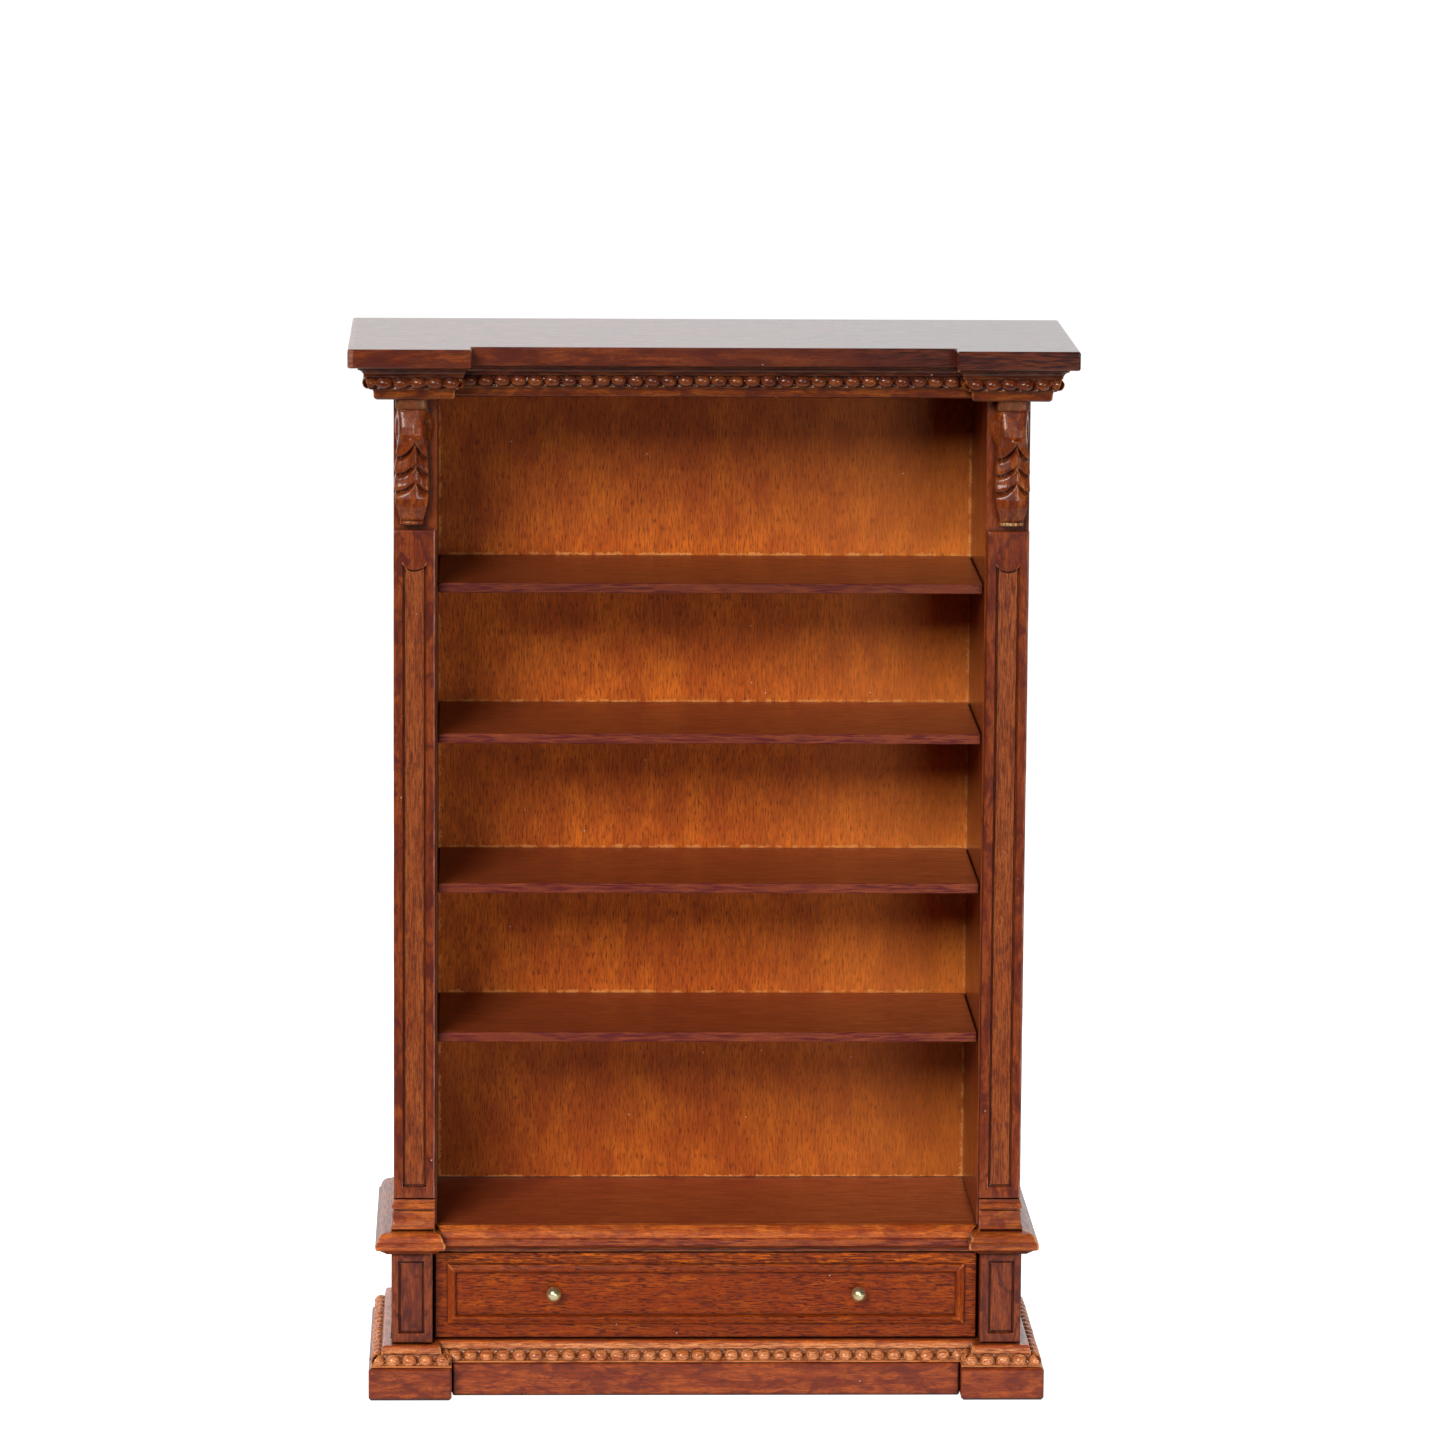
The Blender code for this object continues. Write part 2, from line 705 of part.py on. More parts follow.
def inset(outline, by):
    """Outline drawn in towards its middle by the same amount on each side."""
    xs = [x for x, _ in outline]
    zs = [z for _, z in outline]
    mid_x = (min(xs) + max(xs)) / 2
    mid_z = (min(zs) + max(zs)) / 2
    scale_x = 1 - 2 * by / (max(xs) - min(xs))
    scale_z = 1 - 2 * by / (max(zs) - min(zs))
    return [(mid_x + (x - mid_x) * scale_x, mid_z + (z - mid_z) * scale_z) for x, z in outline]


def add_pilasters():
    for side, word in SIDES:
        x = spans(STRIP_INNER_X, SIDE_OUTER_X, side)
        y = (STRIP_FACE_Y, SIDE_FRONT_Y - GLUE)
        strip = add_box("pilaster_" + word, x, y, (STRIP_FOOT_Z, STRIP_TOP_Z), RUSSET, ARRIS)
        low, high = spans(SUNK_INNER_X, SUNK_OUTER_X, side)
        outline = scalloped(low, high, SUNK_FOOT_Z, SUNK_TOP_Z, SUNK_SCALLOP)
        cut(strip, add_cutter("sunk_" + word, outline, STRIP_FACE_Y, SUNK_DEPTH))
        x = spans(LOWER_INNER_X, PEDESTAL_OUTER_X, side)
        y = (PEDESTAL_FACE_Y, SIDE_FRONT_Y - GLUE)
        z = (FLOOR_TOP_Z + GLUE, PEDESTAL_TOP_Z)
        block = add_box("pedestal_" + word, x, y, z, RUSSET, ARRIS)
        inner, outer, foot, top = PEDESTAL_SUNK
        low, high = spans(inner, outer, side)
        outline = [(low, foot), (high, foot), (high, top), (low, top)]
        cut(block, add_cutter("pedestal_sunk_" + word, outline, PEDESTAL_FACE_Y, SUNK_DEPTH))


def add_pilaster_feet():
    """Coved block under each strip, swelling to the front and a little to the outside."""
    for side, word in SIDES:
        points = []
        for z, proud in FOOT_STEPS:
            outer = side * (SIDE_OUTER_X + proud * FOOT_SIDE_SHARE)
            inner = side * STRIP_INNER_X
            face = STRIP_FACE_Y - proud
            back = SIDE_FRONT_Y - GLUE
            points += [(inner, back, z), (outer, back, z), (outer, face, z), (inner, face, z)]
        faces = loft_faces(len(FOOT_STEPS), 4)
        add_piece("pilaster_foot_" + word, points, faces, HONEY, rounded=True)


def add_brackets():
    """Scroll bracket with three tiers of leaves that drop away to each side."""
    back = SIDE_FRONT_Y - GLUE
    for side, word in SIDES:
        points = []
        for z, drop, half, back_half, proud in BRACKET_ROWS:
            middle = side * BRACKET_X
            points.append((middle - back_half, back, z - drop))
            for across in BRACKET_ACROSS:
                out = proud - BRACKET_ROUND * across * across
                points.append((middle + half * across, back - out, z - drop * abs(across)))
            points.append((middle + back_half, back, z - drop))
        around = len(BRACKET_ACROSS) + 2
        faces = loft_faces(len(BRACKET_ROWS), around)
        add_piece("bracket_" + word, points, faces, HONEY, rounded=True)


def add_plinth():
    """Corner blocks lapped behind the front rail, and a rail along each side."""
    lip = PLINTH_INNER_X - PLINTH_LAP
    block = [
        (PLINTH_INNER_X, PLINTH_FRONT_Y),
        (PLINTH_SIDE_X, PLINTH_FRONT_Y),
        (PLINTH_SIDE_X, PLINTH_BLOCK_BACK_Y),
        (lip, PLINTH_BLOCK_BACK_Y),
        (lip, PLINTH_LAP_Y),
        (PLINTH_INNER_X, PLINTH_LAP_Y),
    ]
    for side, word in SIDES:
        plan = handed(block, side)
        add_prism("plinth_block_" + word, plan, "Z", 0.0, PLINTH_TOP_Z, RUSSET, WORN_ARRIS)
        x = spans(PLINTH_SIDE_X - PLINTH_RAIL, PLINTH_SIDE_X, side)
        y = (PLINTH_BLOCK_BACK_Y + GLUE, CASE_BACK_Y)
        add_box("plinth_side_" + word, x, y, (0.0, PLINTH_TOP_Z), RUSSET, SOFT_ARRIS)
    half = PLINTH_INNER_X - GLUE
    back_y = PLINTH_CENTRE_Y + PLINTH_CENTRE_THICK
    right = [
        (half, PLINTH_CENTRE_Y),
        (half, PLINTH_LAP_Y - GLUE),
        (half - PLINTH_LAP, PLINTH_LAP_Y - GLUE),
        (half - PLINTH_LAP, back_y),
    ]
    plan = right + handed(right, -1)[::-1]
    add_prism("plinth_centre", plan, "Z", 0.0, PLINTH_TOP_Z, RUSSET, SOFT_ARRIS)


# Drawer --------------------------------------------------------------------------------


def add_drawer_box():
    y = (DRAWER_FACE_Y, DRAWER_FACE_Y + DRAWER_FRONT_THICK)
    z = (DRAWER_FOOT_Z, DRAWER_TOP_Z)
    front = add_box("drawer_front", (-DRAWER_HALF, DRAWER_HALF), y, z, RUSSET, ARRIS)
    for side, word in SIDES:
        cut(front, add_pin_hole("pin_hole_" + word, side * KNOB_X))
    y = (DRAWER_FACE_Y + DRAWER_FRONT_THICK + GLUE, DRAWER_BOX_BACK_Y)
    inner = DRAWER_BOX_HALF - DRAWER_WALL
    z = (DRAWER_BOX_FOOT_Z, DRAWER_BOX_TOP_Z)
    for side, word in SIDES:
        add_box("drawer_side_" + word, spans(inner, DRAWER_BOX_HALF, side), y, z, PLY, ARRIS)
    half = inner - GLUE
    back_y = (DRAWER_BOX_BACK_Y - DRAWER_WALL, DRAWER_BOX_BACK_Y)
    add_box("drawer_back", (-half, half), back_y, z, PLY, ARRIS)
    bottom_y = (y[0], back_y[0] - GLUE)
    add_box("drawer_bottom", (-half, half), bottom_y, DRAWER_BOTTOM, PLY)


def add_pin_hole(name, x):
    outline = []
    for turn in range(KNOB_TURNS):
        angle = 2 * math.pi * turn / KNOB_TURNS
        outline.append((x + PIN_HOLE_R * math.cos(angle), KNOB_Z + PIN_HOLE_R * math.sin(angle)))
    back = DRAWER_FACE_Y + PIN_HOLE_DEPTH
    return as_cutter(add_prism(name, outline, "Y", DRAWER_FACE_Y - CUTTER_PROUD, back, None))


def add_drawer_frame():
    """Four mitred strips of half-round moulding applied to the drawer front."""
    foot, top = FRAME_Z
    corners = [(-FRAME_HALF, foot), (FRAME_HALF, foot), (FRAME_HALF, top), (-FRAME_HALF, top)]
    middle = (foot + top) / 2
    for i, word in enumerate(("bottom", "right", "top", "left")):
        ends = (corners[i], corners[(i + 1) % 4])
        points = []
        for end, other in (ends, ends[::-1]):
            for inward, height in FRAME_FACE:
                x = end[0] - math.copysign(inward, end[0])
                z = end[1] - math.copysign(inward, end[1] - middle)
                if word in ("bottom", "top"):
                    x += math.copysign(GLUE / 2, other[0] - end[0])
                else:
                    z += math.copysign(GLUE / 2, other[1] - end[1])
                points.append((x, DRAWER_FACE_Y - height, z))
        add_piece("drawer_frame_" + word, points, loft_faces(2, len(FRAME_FACE)), HONEY, rounded=True)


def add_knobs():
    for side, word in SIDES:
        place = (side * KNOB_X, DRAWER_FACE_Y, KNOB_Z)
        add_lathe("knob_" + word, KNOB_FACE, KNOB_TURNS, place, BRASS)


clear_scene()
add_top_board()
add_cornice()
add_case_boards()
add_deck()
add_shelves()
add_pilasters()
add_pilaster_feet()
add_brackets()
add_waist()
add_deck_nosing()
add_base_moulding()
add_plinth()
gather("case", (0.0, 0.0, 0.0))
add_drawer_box()
add_drawer_frame()
add_knobs()
gather("drawer_slide_axis", (0.0, DRAWER_FACE_Y, KNOB_Z))
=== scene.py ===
# Looks of the dolls' house bookcase: fine carved and turned versions of the mouldings, brackets,
# pilasters and knobs, softened edges on the plain boards, and stained wood and brass.
# Sizes here are millimetres unless a name says otherwise; points become metres in add_piece.
import math

import bmesh
import bpy
from mathutils import Matrix, Vector, noise


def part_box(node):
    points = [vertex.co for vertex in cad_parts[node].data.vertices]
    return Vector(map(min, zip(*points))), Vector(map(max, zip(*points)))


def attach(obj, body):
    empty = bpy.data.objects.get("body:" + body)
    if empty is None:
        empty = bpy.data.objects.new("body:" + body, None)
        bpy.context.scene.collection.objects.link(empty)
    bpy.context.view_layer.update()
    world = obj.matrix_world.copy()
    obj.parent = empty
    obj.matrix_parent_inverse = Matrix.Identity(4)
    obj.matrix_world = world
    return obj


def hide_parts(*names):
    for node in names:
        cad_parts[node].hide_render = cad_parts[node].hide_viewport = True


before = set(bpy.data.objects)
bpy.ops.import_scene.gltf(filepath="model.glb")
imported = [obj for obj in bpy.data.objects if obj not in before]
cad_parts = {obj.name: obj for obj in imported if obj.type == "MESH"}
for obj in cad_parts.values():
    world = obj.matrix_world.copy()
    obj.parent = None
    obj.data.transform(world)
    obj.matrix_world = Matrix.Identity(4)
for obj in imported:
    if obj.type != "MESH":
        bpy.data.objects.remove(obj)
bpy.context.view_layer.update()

MM = 0.001
SIDES = ((-1, "left"), (1, "right"))
GRAIN_STEP = 0.0137
# How much light the stain leaves in each piece's tones, by the start of its name
STAIN = {
    "top_board": 0.76,
    "cornice": 0.57,
    "bracket": 0.76,
    "pilaster_foot_left": 1.2,
    "pilaster_foot_right": 1.05,
    "pilaster_left": 0.96,
    "pilaster_right": 0.98,
    "upper_side": 0.9,
    "pedestal": 0.84,
    "waist_front_left": 1.55,
    "waist_front_right": 1.1,
    "waist": 1.0,
    "deck_nosing": 1.46,
    "deck_shelf": 1.62,
    "shelf_4": 1.02,
    "shelf": 1.32,
    "base": 1.42,
    "plinth": 1.26,
    "drawer_front": 1.7,
    "drawer_frame": 1.55,
    "upper_back": 1.14,
}


def box(node):
    """Lowest and highest corner of a CAD node in millimetres."""
    low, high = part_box(node)
    return low / MM, high / MM


# Materials -----------------------------------------------------------------------------


def srgb(red, green, blue):
    """Linear colour with alpha, from 0-255 display values."""
    linear = []
    for value in (red, green, blue):
        value /= 255
        linear.append(value / 12.92 if value <= 0.04045 else ((value + 0.055) / 1.055) ** 2.4)
    return (*linear, 1.0)


class Graph:
    """Short hand for building a material's nodes."""

    def __init__(self, name):
        self.material = bpy.data.materials.new(name)
        self.material.use_nodes = True
        self.tree = self.material.node_tree
        self.shader = self.tree.nodes["Principled BSDF"]

    def node(self, kind, inputs=None, **settings):
        made = self.tree.nodes.new("ShaderNode" + kind)
        for key, value in settings.items():
            setattr(made, key, value)
        for key, value in (inputs or {}).items():
            self.feed(made.inputs[key], value)
        return made

    def feed(self, socket, value):
        if isinstance(value, bpy.types.NodeSocket):
            self.tree.links.new(value, socket)
        else:
            socket.default_value = value

    def maths(self, operation, a, b=0.0):
        return self.node("Math", {0: a, 1: b}, operation=operation).outputs[0]

    def scaled(self, value, by, plus):
        inputs = {0: value, 1: by, 2: plus}
        return self.node("Math", inputs, operation="MULTIPLY_ADD").outputs[0]

    def spread(self, value, low, high):
        """Value eased from 0 at low to 1 at high."""
        inputs = {"Value": value, "From Min": low, "From Max": high}
        return self.node("MapRange", inputs, interpolation_type="SMOOTHSTEP").outputs[0]

    def blend(self, share, a, b, mode="MIX"):
        inputs = {0: share, 6: a, 7: b}
        return self.node("Mix", inputs, data_type="RGBA", blend_type=mode).outputs[2]

    def layer(self, colour, tone, mask, strength):
        """The colour with a tone laid over it where the mask is, at a strength from 0 to 1."""
        return self.blend(self.maths("MULTIPLY", mask, strength), colour, tone)

    def place(self):
        """Position in the piece, moved by the piece's own grain_shift so that no two boards match."""
        position = self.node("TexCoord").outputs["Object"]
        shift = self.node("Attribute", attribute_type="OBJECT", attribute_name="grain_shift")
        return self.node("VectorMath", {0: position, 1: shift.outputs["Fac"]}, operation="ADD").outputs[0]

    def fibres(self, place, along, length, width, detail, twist=0.0):
        """Noise drawn out to the given length and width in millimetres."""
        scale = [1 / (width * MM)] * 3
        scale["XYZ".index(along)] = 1 / (length * MM)
        stretched = self.node("VectorMath", {0: place, 1: scale}, operation="MULTIPLY").outputs[0]
        inputs = {"Vector": stretched, "Scale": 1.0, "Detail": detail, "Distortion": twist}
        return self.node("TexNoise", inputs).outputs["Fac"]

    def nearness(self, distance, inside):
        """How far other surface closes in within the distance: hollows, or edges from the inside."""
        inputs = {"Distance": distance * MM}
        settings = {"inside": inside, "only_local": inside, "samples": AO_SAMPLES}
        seen = self.node("AmbientOcclusion", inputs, **settings)
        return self.maths("SUBTRACT", 1.0, seen.outputs["AO"])

    def stained(self, colour):
        """The colour under the piece's own depth of stain."""
        depth = self.node("Attribute", attribute_type="OBJECT", attribute_name="stain")
        return self.blend(1.0, colour, depth.outputs["Fac"], "MULTIPLY")

    def dusty(self, colour):
        """The colour with a few pale specks of dust on it."""
        position = self.node("TexCoord").outputs["Object"]
        cells = self.node("TexVoronoi", {"Vector": position, "Scale": 1 / (DUST_SPACING * MM)})
        speck = self.maths("LESS_THAN", cells.outputs["Distance"], DUST_SIZE / DUST_SPACING)
        chance = self.node("SeparateColor", {0: cells.outputs["Color"]}).outputs["Red"]
        speck = self.maths("MULTIPLY", speck, self.maths("LESS_THAN", chance, DUST_SHARE))
        return self.layer(colour, DUST, speck, DUST_STRENGTH)

    def roughened(self, strength, height):
        """Gives the shader a shallow relief."""
        bump = self.node("Bump", {"Strength": strength, "Distance": BUMP_DEPTH * MM, "Height": height})
        self.feed(self.shader.inputs["Normal"], bump.outputs["Normal"])


def wood(name, along, tones, streak=1.0, mottle=1.0, wear=1.0, figure=1.0, rough=0.34, coat=0.4, tints=()):
    """Stained, lacquered wood. tones: dark grain, body, light grain, plum blotch, worn edge.

    streak, mottle, wear: how strong the fibres and pores, the blotches and the rubbed edges are.
    figure: how many times as wide the bands and blotches are.
    tints: bands of the piece with a tone laid over them, as made by band, above or below; some are painted
    shade or painted highlight.
    """
    dark, body, light, plum, worn = tones
    graph = Graph(name)
    place = graph.place()
    drawn_out = figure ** 2
    bands = graph.fibres(place, along, length=8 * drawn_out, width=1.6 * figure, detail=5.0, twist=0.6)
    bands = graph.spread(bands, low=0.41, high=0.6)
    fibre = graph.fibres(place, along, length=3.6, width=0.24, detail=3.0)
    fibre = graph.spread(fibre, low=0.34, high=0.66)
    pores = graph.fibres(place, along, length=1.5, width=0.17, detail=1.0)
    pores = graph.spread(pores, low=0.53, high=0.66)
    blotch = graph.fibres(place, along, length=4.2 * drawn_out, width=2.1 * figure, detail=6.0, twist=0.9)
    blotch = graph.spread(blotch, low=0.48, high=0.61)
    grit = graph.fibres(place, along, length=0.5, width=0.22, detail=2.0)
    grit = graph.spread(grit, low=0.3, high=0.7)
    colour = graph.blend(bands, body, light)
    colour = graph.layer(colour, dark, fibre, 0.5 * streak)
    colour = graph.layer(colour, plum, blotch, 0.66 * mottle)
    # tints come and go along the grain, and leave the darkest fibres to show through
    drift = graph.fibres(place, along, length=12, width=2.4, detail=4.0, twist=0.5)
    drift = graph.scaled(graph.spread(drift, low=0.38, high=0.56), by=0.5, plus=0.5)
    between_fibres = graph.maths("SUBTRACT", 1.15, fibre)
    for axis, start, full, still, end, tone in tints:
        reach = graph.node("SeparateXYZ", {0: graph.node("TexCoord").outputs["Object"]}).outputs[axis]
        inside = graph.maths("MULTIPLY", graph.spread(reach, start * MM, full * MM), drift)
        inside = graph.maths("MULTIPLY", inside, graph.spread(reach, end * MM, still * MM))
        colour = graph.layer(colour, tone, inside, between_fibres)
    colour = graph.layer(colour, dark, pores, 0.55 * streak)
    colour = graph.layer(colour, dark, grit, 0.3)
    colour = graph.stained(colour)
    # painted shade darkens the hollows, and the edges are rubbed paler in places
    hollow = graph.spread(graph.nearness(HOLLOW_REACH, inside=False), low=0.12, high=0.66)
    colour = graph.layer(colour, PAINTED_SHADE, hollow, 0.9)
    edge = graph.spread(graph.nearness(EDGE_REACH, inside=True), low=0.3, high=0.62)
    rubbed = graph.fibres(place, along, length=4.0, width=1.1, detail=3.0)
    rubbed = graph.spread(rubbed, low=0.36, high=0.58)
    colour = graph.layer(colour, worn, edge, graph.maths("MULTIPLY", rubbed, 0.85 * wear))
    graph.feed(graph.shader.inputs["Base Color"], graph.dusty(colour))
    graph.feed(graph.shader.inputs["Roughness"], graph.scaled(fibre, by=0.1, plus=rough - 0.05))
    graph.shader.inputs["Specular IOR Level"].default_value = 0.2
    graph.shader.inputs["Coat Weight"].default_value = coat
    graph.shader.inputs["Coat Roughness"].default_value = 0.12
    cut = -0.6
    relief = graph.maths("ADD", graph.maths("MULTIPLY", fibre, cut), graph.maths("MULTIPLY", pores, cut))
    graph.roughened(0.5, relief)
    return graph.material


def sheet_wood(name, tones, seams, half_width, front_y):
    """Thin stained sheet with short dark upright flecks, and a pale ragged line along each seam.

    seams: heights of the shelf tops, from the lowest; the highest and lowest bays are darker.
    The seams show on the front, at front_y; the rear is duller.
    """
    dark, body, light, pale = tones
    graph = Graph(name)
    place = graph.place()
    cloud = graph.fibres(place, "Z", length=9, width=5, detail=3.0)
    cloud = graph.spread(cloud, low=0.35, high=0.7)
    fibre = graph.fibres(place, "Z", length=2.6, width=0.3, detail=3.0)
    fibre = graph.spread(fibre, low=0.3, high=0.7)
    flecks = graph.fibres(place, "Z", length=1.5, width=0.24, detail=2.0)
    flecks = graph.spread(flecks, low=0.53, high=0.68)
    colour = graph.blend(cloud, body, light)
    colour = graph.layer(colour, dark, fibre, 0.4)
    colour = graph.layer(colour, dark, flecks, 0.72)
    split = graph.node("SeparateXYZ", {0: graph.node("TexCoord").outputs["Object"]})
    x, y, z = (split.outputs[axis] for axis in "XYZ")
    colour = graph.layer(colour, GOLDEN, graph.spread(x, 0.0, half_width * MM), 0.3)
    for start, full in ((seams[-1], seams[-1] + BAY_FADE), (seams[1], seams[1] - BAY_FADE)):
        colour = graph.layer(colour, dark, graph.spread(z, start * MM, full * MM), 0.27)
    rear = graph.spread(y, (front_y + 0.2) * MM, (front_y + 0.4) * MM)
    colour = graph.layer(colour, REAR, rear, 0.75)
    colour = graph.stained(colour)
    ragged = graph.fibres(place, "X", length=0.7, width=0.5, detail=2.0)
    ragged = graph.maths("MULTIPLY", ragged, SEAM_RAGGED * MM)
    patchy = graph.fibres(place, "X", length=2.2, width=2.2, detail=2.0)
    patchy = graph.spread(patchy, low=0.4, high=0.6)
    patchy = graph.maths("MULTIPLY", patchy, graph.maths("SUBTRACT", 1.0, rear))
    from_side = graph.maths("SUBTRACT", half_width * MM, graph.maths("ABSOLUTE", x))
    lines = [(graph.maths("SUBTRACT", z, ragged), seam - SEAM_SINK) for seam in seams]
    lines.append((graph.maths("SUBTRACT", from_side, ragged), -SEAM_SINK))
    for across, middle in lines:
        inputs = {0: across, 1: middle * MM, 2: SEAM_HALF_WIDTH * MM}
        near = graph.node("Math", inputs, operation="COMPARE").outputs[0]
        colour = graph.layer(colour, pale, graph.maths("MULTIPLY", near, SEAM_STRENGTH), patchy)
    graph.feed(graph.shader.inputs["Base Color"], graph.dusty(colour))
    graph.shader.inputs["Roughness"].default_value = 0.55
    graph.shader.inputs["Specular IOR Level"].default_value = 0.14
    graph.shader.inputs["Coat Weight"].default_value = 0.08
    graph.shader.inputs["Coat Roughness"].default_value = 0.3
    graph.roughened(0.4, fibre)
    return graph.material


def brass(name):
    """Polished brass with a little tarnish."""
    graph = Graph(name)
    tarnish = graph.fibres(graph.place(), "Z", length=0.9, width=0.6, detail=3.0)
    tarnish = graph.spread(tarnish, low=0.4, high=0.7)
    colour = graph.blend(tarnish, BRIGHT_BRASS, DULL_BRASS)
    graph.feed(graph.shader.inputs["Base Color"], colour)
    graph.feed(graph.shader.inputs["Roughness"], graph.scaled(tarnish, by=0.1, plus=0.27))
    graph.shader.inputs["Metallic"].default_value = 0.9
    return graph.material


# Beyond the end of any piece
FAR = 500.0


def band(axis, start, full, still, end, tone):
    """A tint that comes in from start to full and goes out from still to end."""
    return (axis, start, full, still, end, tone)


def above(axis, start, full, tone):
    """A tint that comes in from start to full and goes on to the end of the piece."""
    return band(axis, start, full, FAR, FAR + 1, tone)


def below(axis, still, end, tone):
    """A tint from the beginning of the piece that goes out from still to end."""
    return band(axis, -FAR, 1 - FAR, still, end, tone)


# Tones of each wood: dark grain, body, light grain, plum blotch, worn edge
HONEY = (srgb(96, 34, 12), srgb(164, 74, 26), srgb(198, 104, 40), srgb(100, 38, 28), srgb(222, 140, 76))
RUSSET = (srgb(84, 30, 14), srgb(134, 54, 24), srgb(168, 78, 32), srgb(90, 30, 24), srgb(206, 122, 70))
AMBER = (srgb(66, 17, 2), srgb(152, 66, 6), srgb(176, 84, 10), srgb(90, 26, 6), srgb(206, 118, 60))
SHELF = (srgb(82, 32, 14), srgb(134, 60, 28), srgb(148, 70, 34), srgb(106, 42, 28), srgb(176, 84, 50))
# Tones of the back sheet: dark grain, body, light grain, pale seam
SHEET = (srgb(96, 34, 10), srgb(186, 86, 20), srgb(214, 110, 26), srgb(236, 160, 88))
# Tones laid over the woods
# painted shade for the hollows and under the rolls
PAINTED_SHADE = srgb(34, 11, 8)
# painted shade for the cove under the top board
COVE_SHADE = srgb(70, 32, 22)
# plum of the waist's roll, also painted shade on the nosing's lower roll
DEEP_PLUM_AND_SHADE = srgb(80, 24, 24)
PLUM_LIP = srgb(84, 22, 28)
PEARL_PALE = srgb(212, 140, 90)
DULL_CAP = srgb(128, 90, 56)
BARE_WOOD = srgb(252, 206, 132)
FIELD = srgb(172, 92, 44)
# darker drawer field, partly painted shade below the top rail
DARK_FIELD_AND_SHADE = srgb(114, 40, 2)
# painted highlight on rounded arrises and ends
PAINTED_HIGHLIGHT = srgb(190, 128, 108)
DARK_END = srgb(48, 12, 16)
# painted light on the right part of the shelves
PAINTED_SHELF_LIGHT = srgb(162, 86, 50)
GOLDEN = srgb(218, 134, 60)
REAR = srgb(128, 70, 34)
DUST = srgb(240, 214, 196)
BRIGHT_BRASS = srgb(244, 232, 186)
DULL_BRASS = srgb(214, 194, 132)

# Dust specks: how far apart, how large, what share of the places has one, how strong it is
DUST_SPACING = 2.6
DUST_SIZE = 0.12
DUST_SHARE = 0.16
DUST_STRENGTH = 0.6
# How far the painted shade spreads from a corner, and rubbing from an edge
HOLLOW_REACH = 1.2
EDGE_REACH = 0.34
# Rays for each of those, and the depth of the grain's relief
AO_SAMPLES = 5
BUMP_DEPTH = 0.03
# The sheet: how far the darker bays fade in, and the pale lines at its seams
BAY_FADE = 6
SEAM_RAGGED = 1.1
SEAM_SINK = 0.4
SEAM_HALF_WIDTH = 0.24
SEAM_STRENGTH = 0.6

# The cornice's cove under the top board is darkened with painted shade
cove = box("cornice_centre")[1].z - 2.6
shaded_cove = above("Z", cove, cove + 0.8, COVE_SHADE)
cornice_x = wood("cornice_wood_across", "X", HONEY, wear=0.5, coat=0.5, tints=[shaded_cove])
cornice_y = wood("cornice_wood_deep", "Y", HONEY, wear=0.5, coat=0.5, tints=[shaded_cove])

roll = box("deck_nosing")[1].z - 2.9
plum_roll = band("Z", roll, roll + 0.2, roll + 0.7, roll + 1.0, DEEP_PLUM_AND_SHADE)
# painted shade on the lower roll and underside of the nosing
underside_shade = below("Z", roll + 0.8, roll + 1.1, DEEP_PLUM_AND_SHADE)
# painted shade on the fillets under the roll
shaded_fillets = below("Z", roll - 0.9, roll - 0.4, PAINTED_SHADE)
waist_x = wood("waist_wood_across", "X", HONEY, mottle=0.6, tints=[plum_roll, shaded_fillets])
waist_y = wood("waist_wood_deep", "Y", HONEY, mottle=0.6, tints=[plum_roll, shaded_fillets])
nosing_x = wood("nosing_wood", "X", HONEY, mottle=0.6, tints=[underside_shade, shaded_fillets])

bead_foot = box("base_centre")[0].z
pale_pearls = band("Z", bead_foot + 0.1, bead_foot + 0.3, bead_foot + 2.6, bead_foot + 3.0, PEARL_PALE)
base_x = wood("base_wood_across", "X", HONEY, mottle=0.6, coat=0.55, tints=[pale_pearls])
base_y = wood("base_wood_deep", "Y", HONEY, mottle=0.6, coat=0.55, tints=[pale_pearls])

cap = box("bracket_left")[1].z - 1.65
dull_cap = above("Z", cap, cap + 0.15, DULL_CAP)
lip = box("bracket_right")[0].z
bare_lip = below("Z", lip + 0.5, lip + 0.6, BARE_WOOD)
carved = {
    "left": wood("carved_wood_left", "Z", HONEY, coat=0.32, tints=[dull_cap]),
    "right": wood("carved_wood_right", "Z", HONEY, coat=0.32, tints=[dull_cap, bare_lip]),
}
honey_x = wood("honey_wood_across", "X", HONEY)

# The sunk field of each pilaster panel is paler, and each strip's right arris has a painted highlight
field = box("pilaster_left")[0].y + 0.32
panel_tints = [above("Y", field, field + 0.1, FIELD)]
for _, word in SIDES:
    arris = box("pilaster_" + word)[1].x
    panel_tints.append(band("X", arris - 0.4, arris - 0.2, arris + 0.1, arris + 0.2, PAINTED_HIGHLIGHT))
panelled_z = wood("panelled_wood", "Z", RUSSET, mottle=1.2, tints=panel_tints)
pedestal_z = wood("pedestal_wood", "Z", RUSSET, mottle=1.4)

russet_x = wood("russet_wood_across", "X", RUSSET)
russet_y = wood("russet_wood_deep", "Y", RUSSET)
side_front = box("upper_side_left")[0].y
honey_front = below("Y", side_front + 0.3, side_front + 0.5, HONEY[1])
side_z = wood("side_board_wood", "Z", RUSSET, mottle=0.8, figure=1.9, tints=[honey_front])

dark_end = above("X", -16, 44, DARK_END)
left_end = box("top_board")[0].x
# painted highlight on the top board's rounded left end
end_highlight = below("X", left_end + 0.7, left_end + 1.1, PAINTED_HIGHLIGHT)
polished_x = wood("polished_top_wood", "X", RUSSET, figure=1.5, coat=0.64, tints=[dark_end, end_highlight])

frame_top = box("drawer_frame_top")[1].z
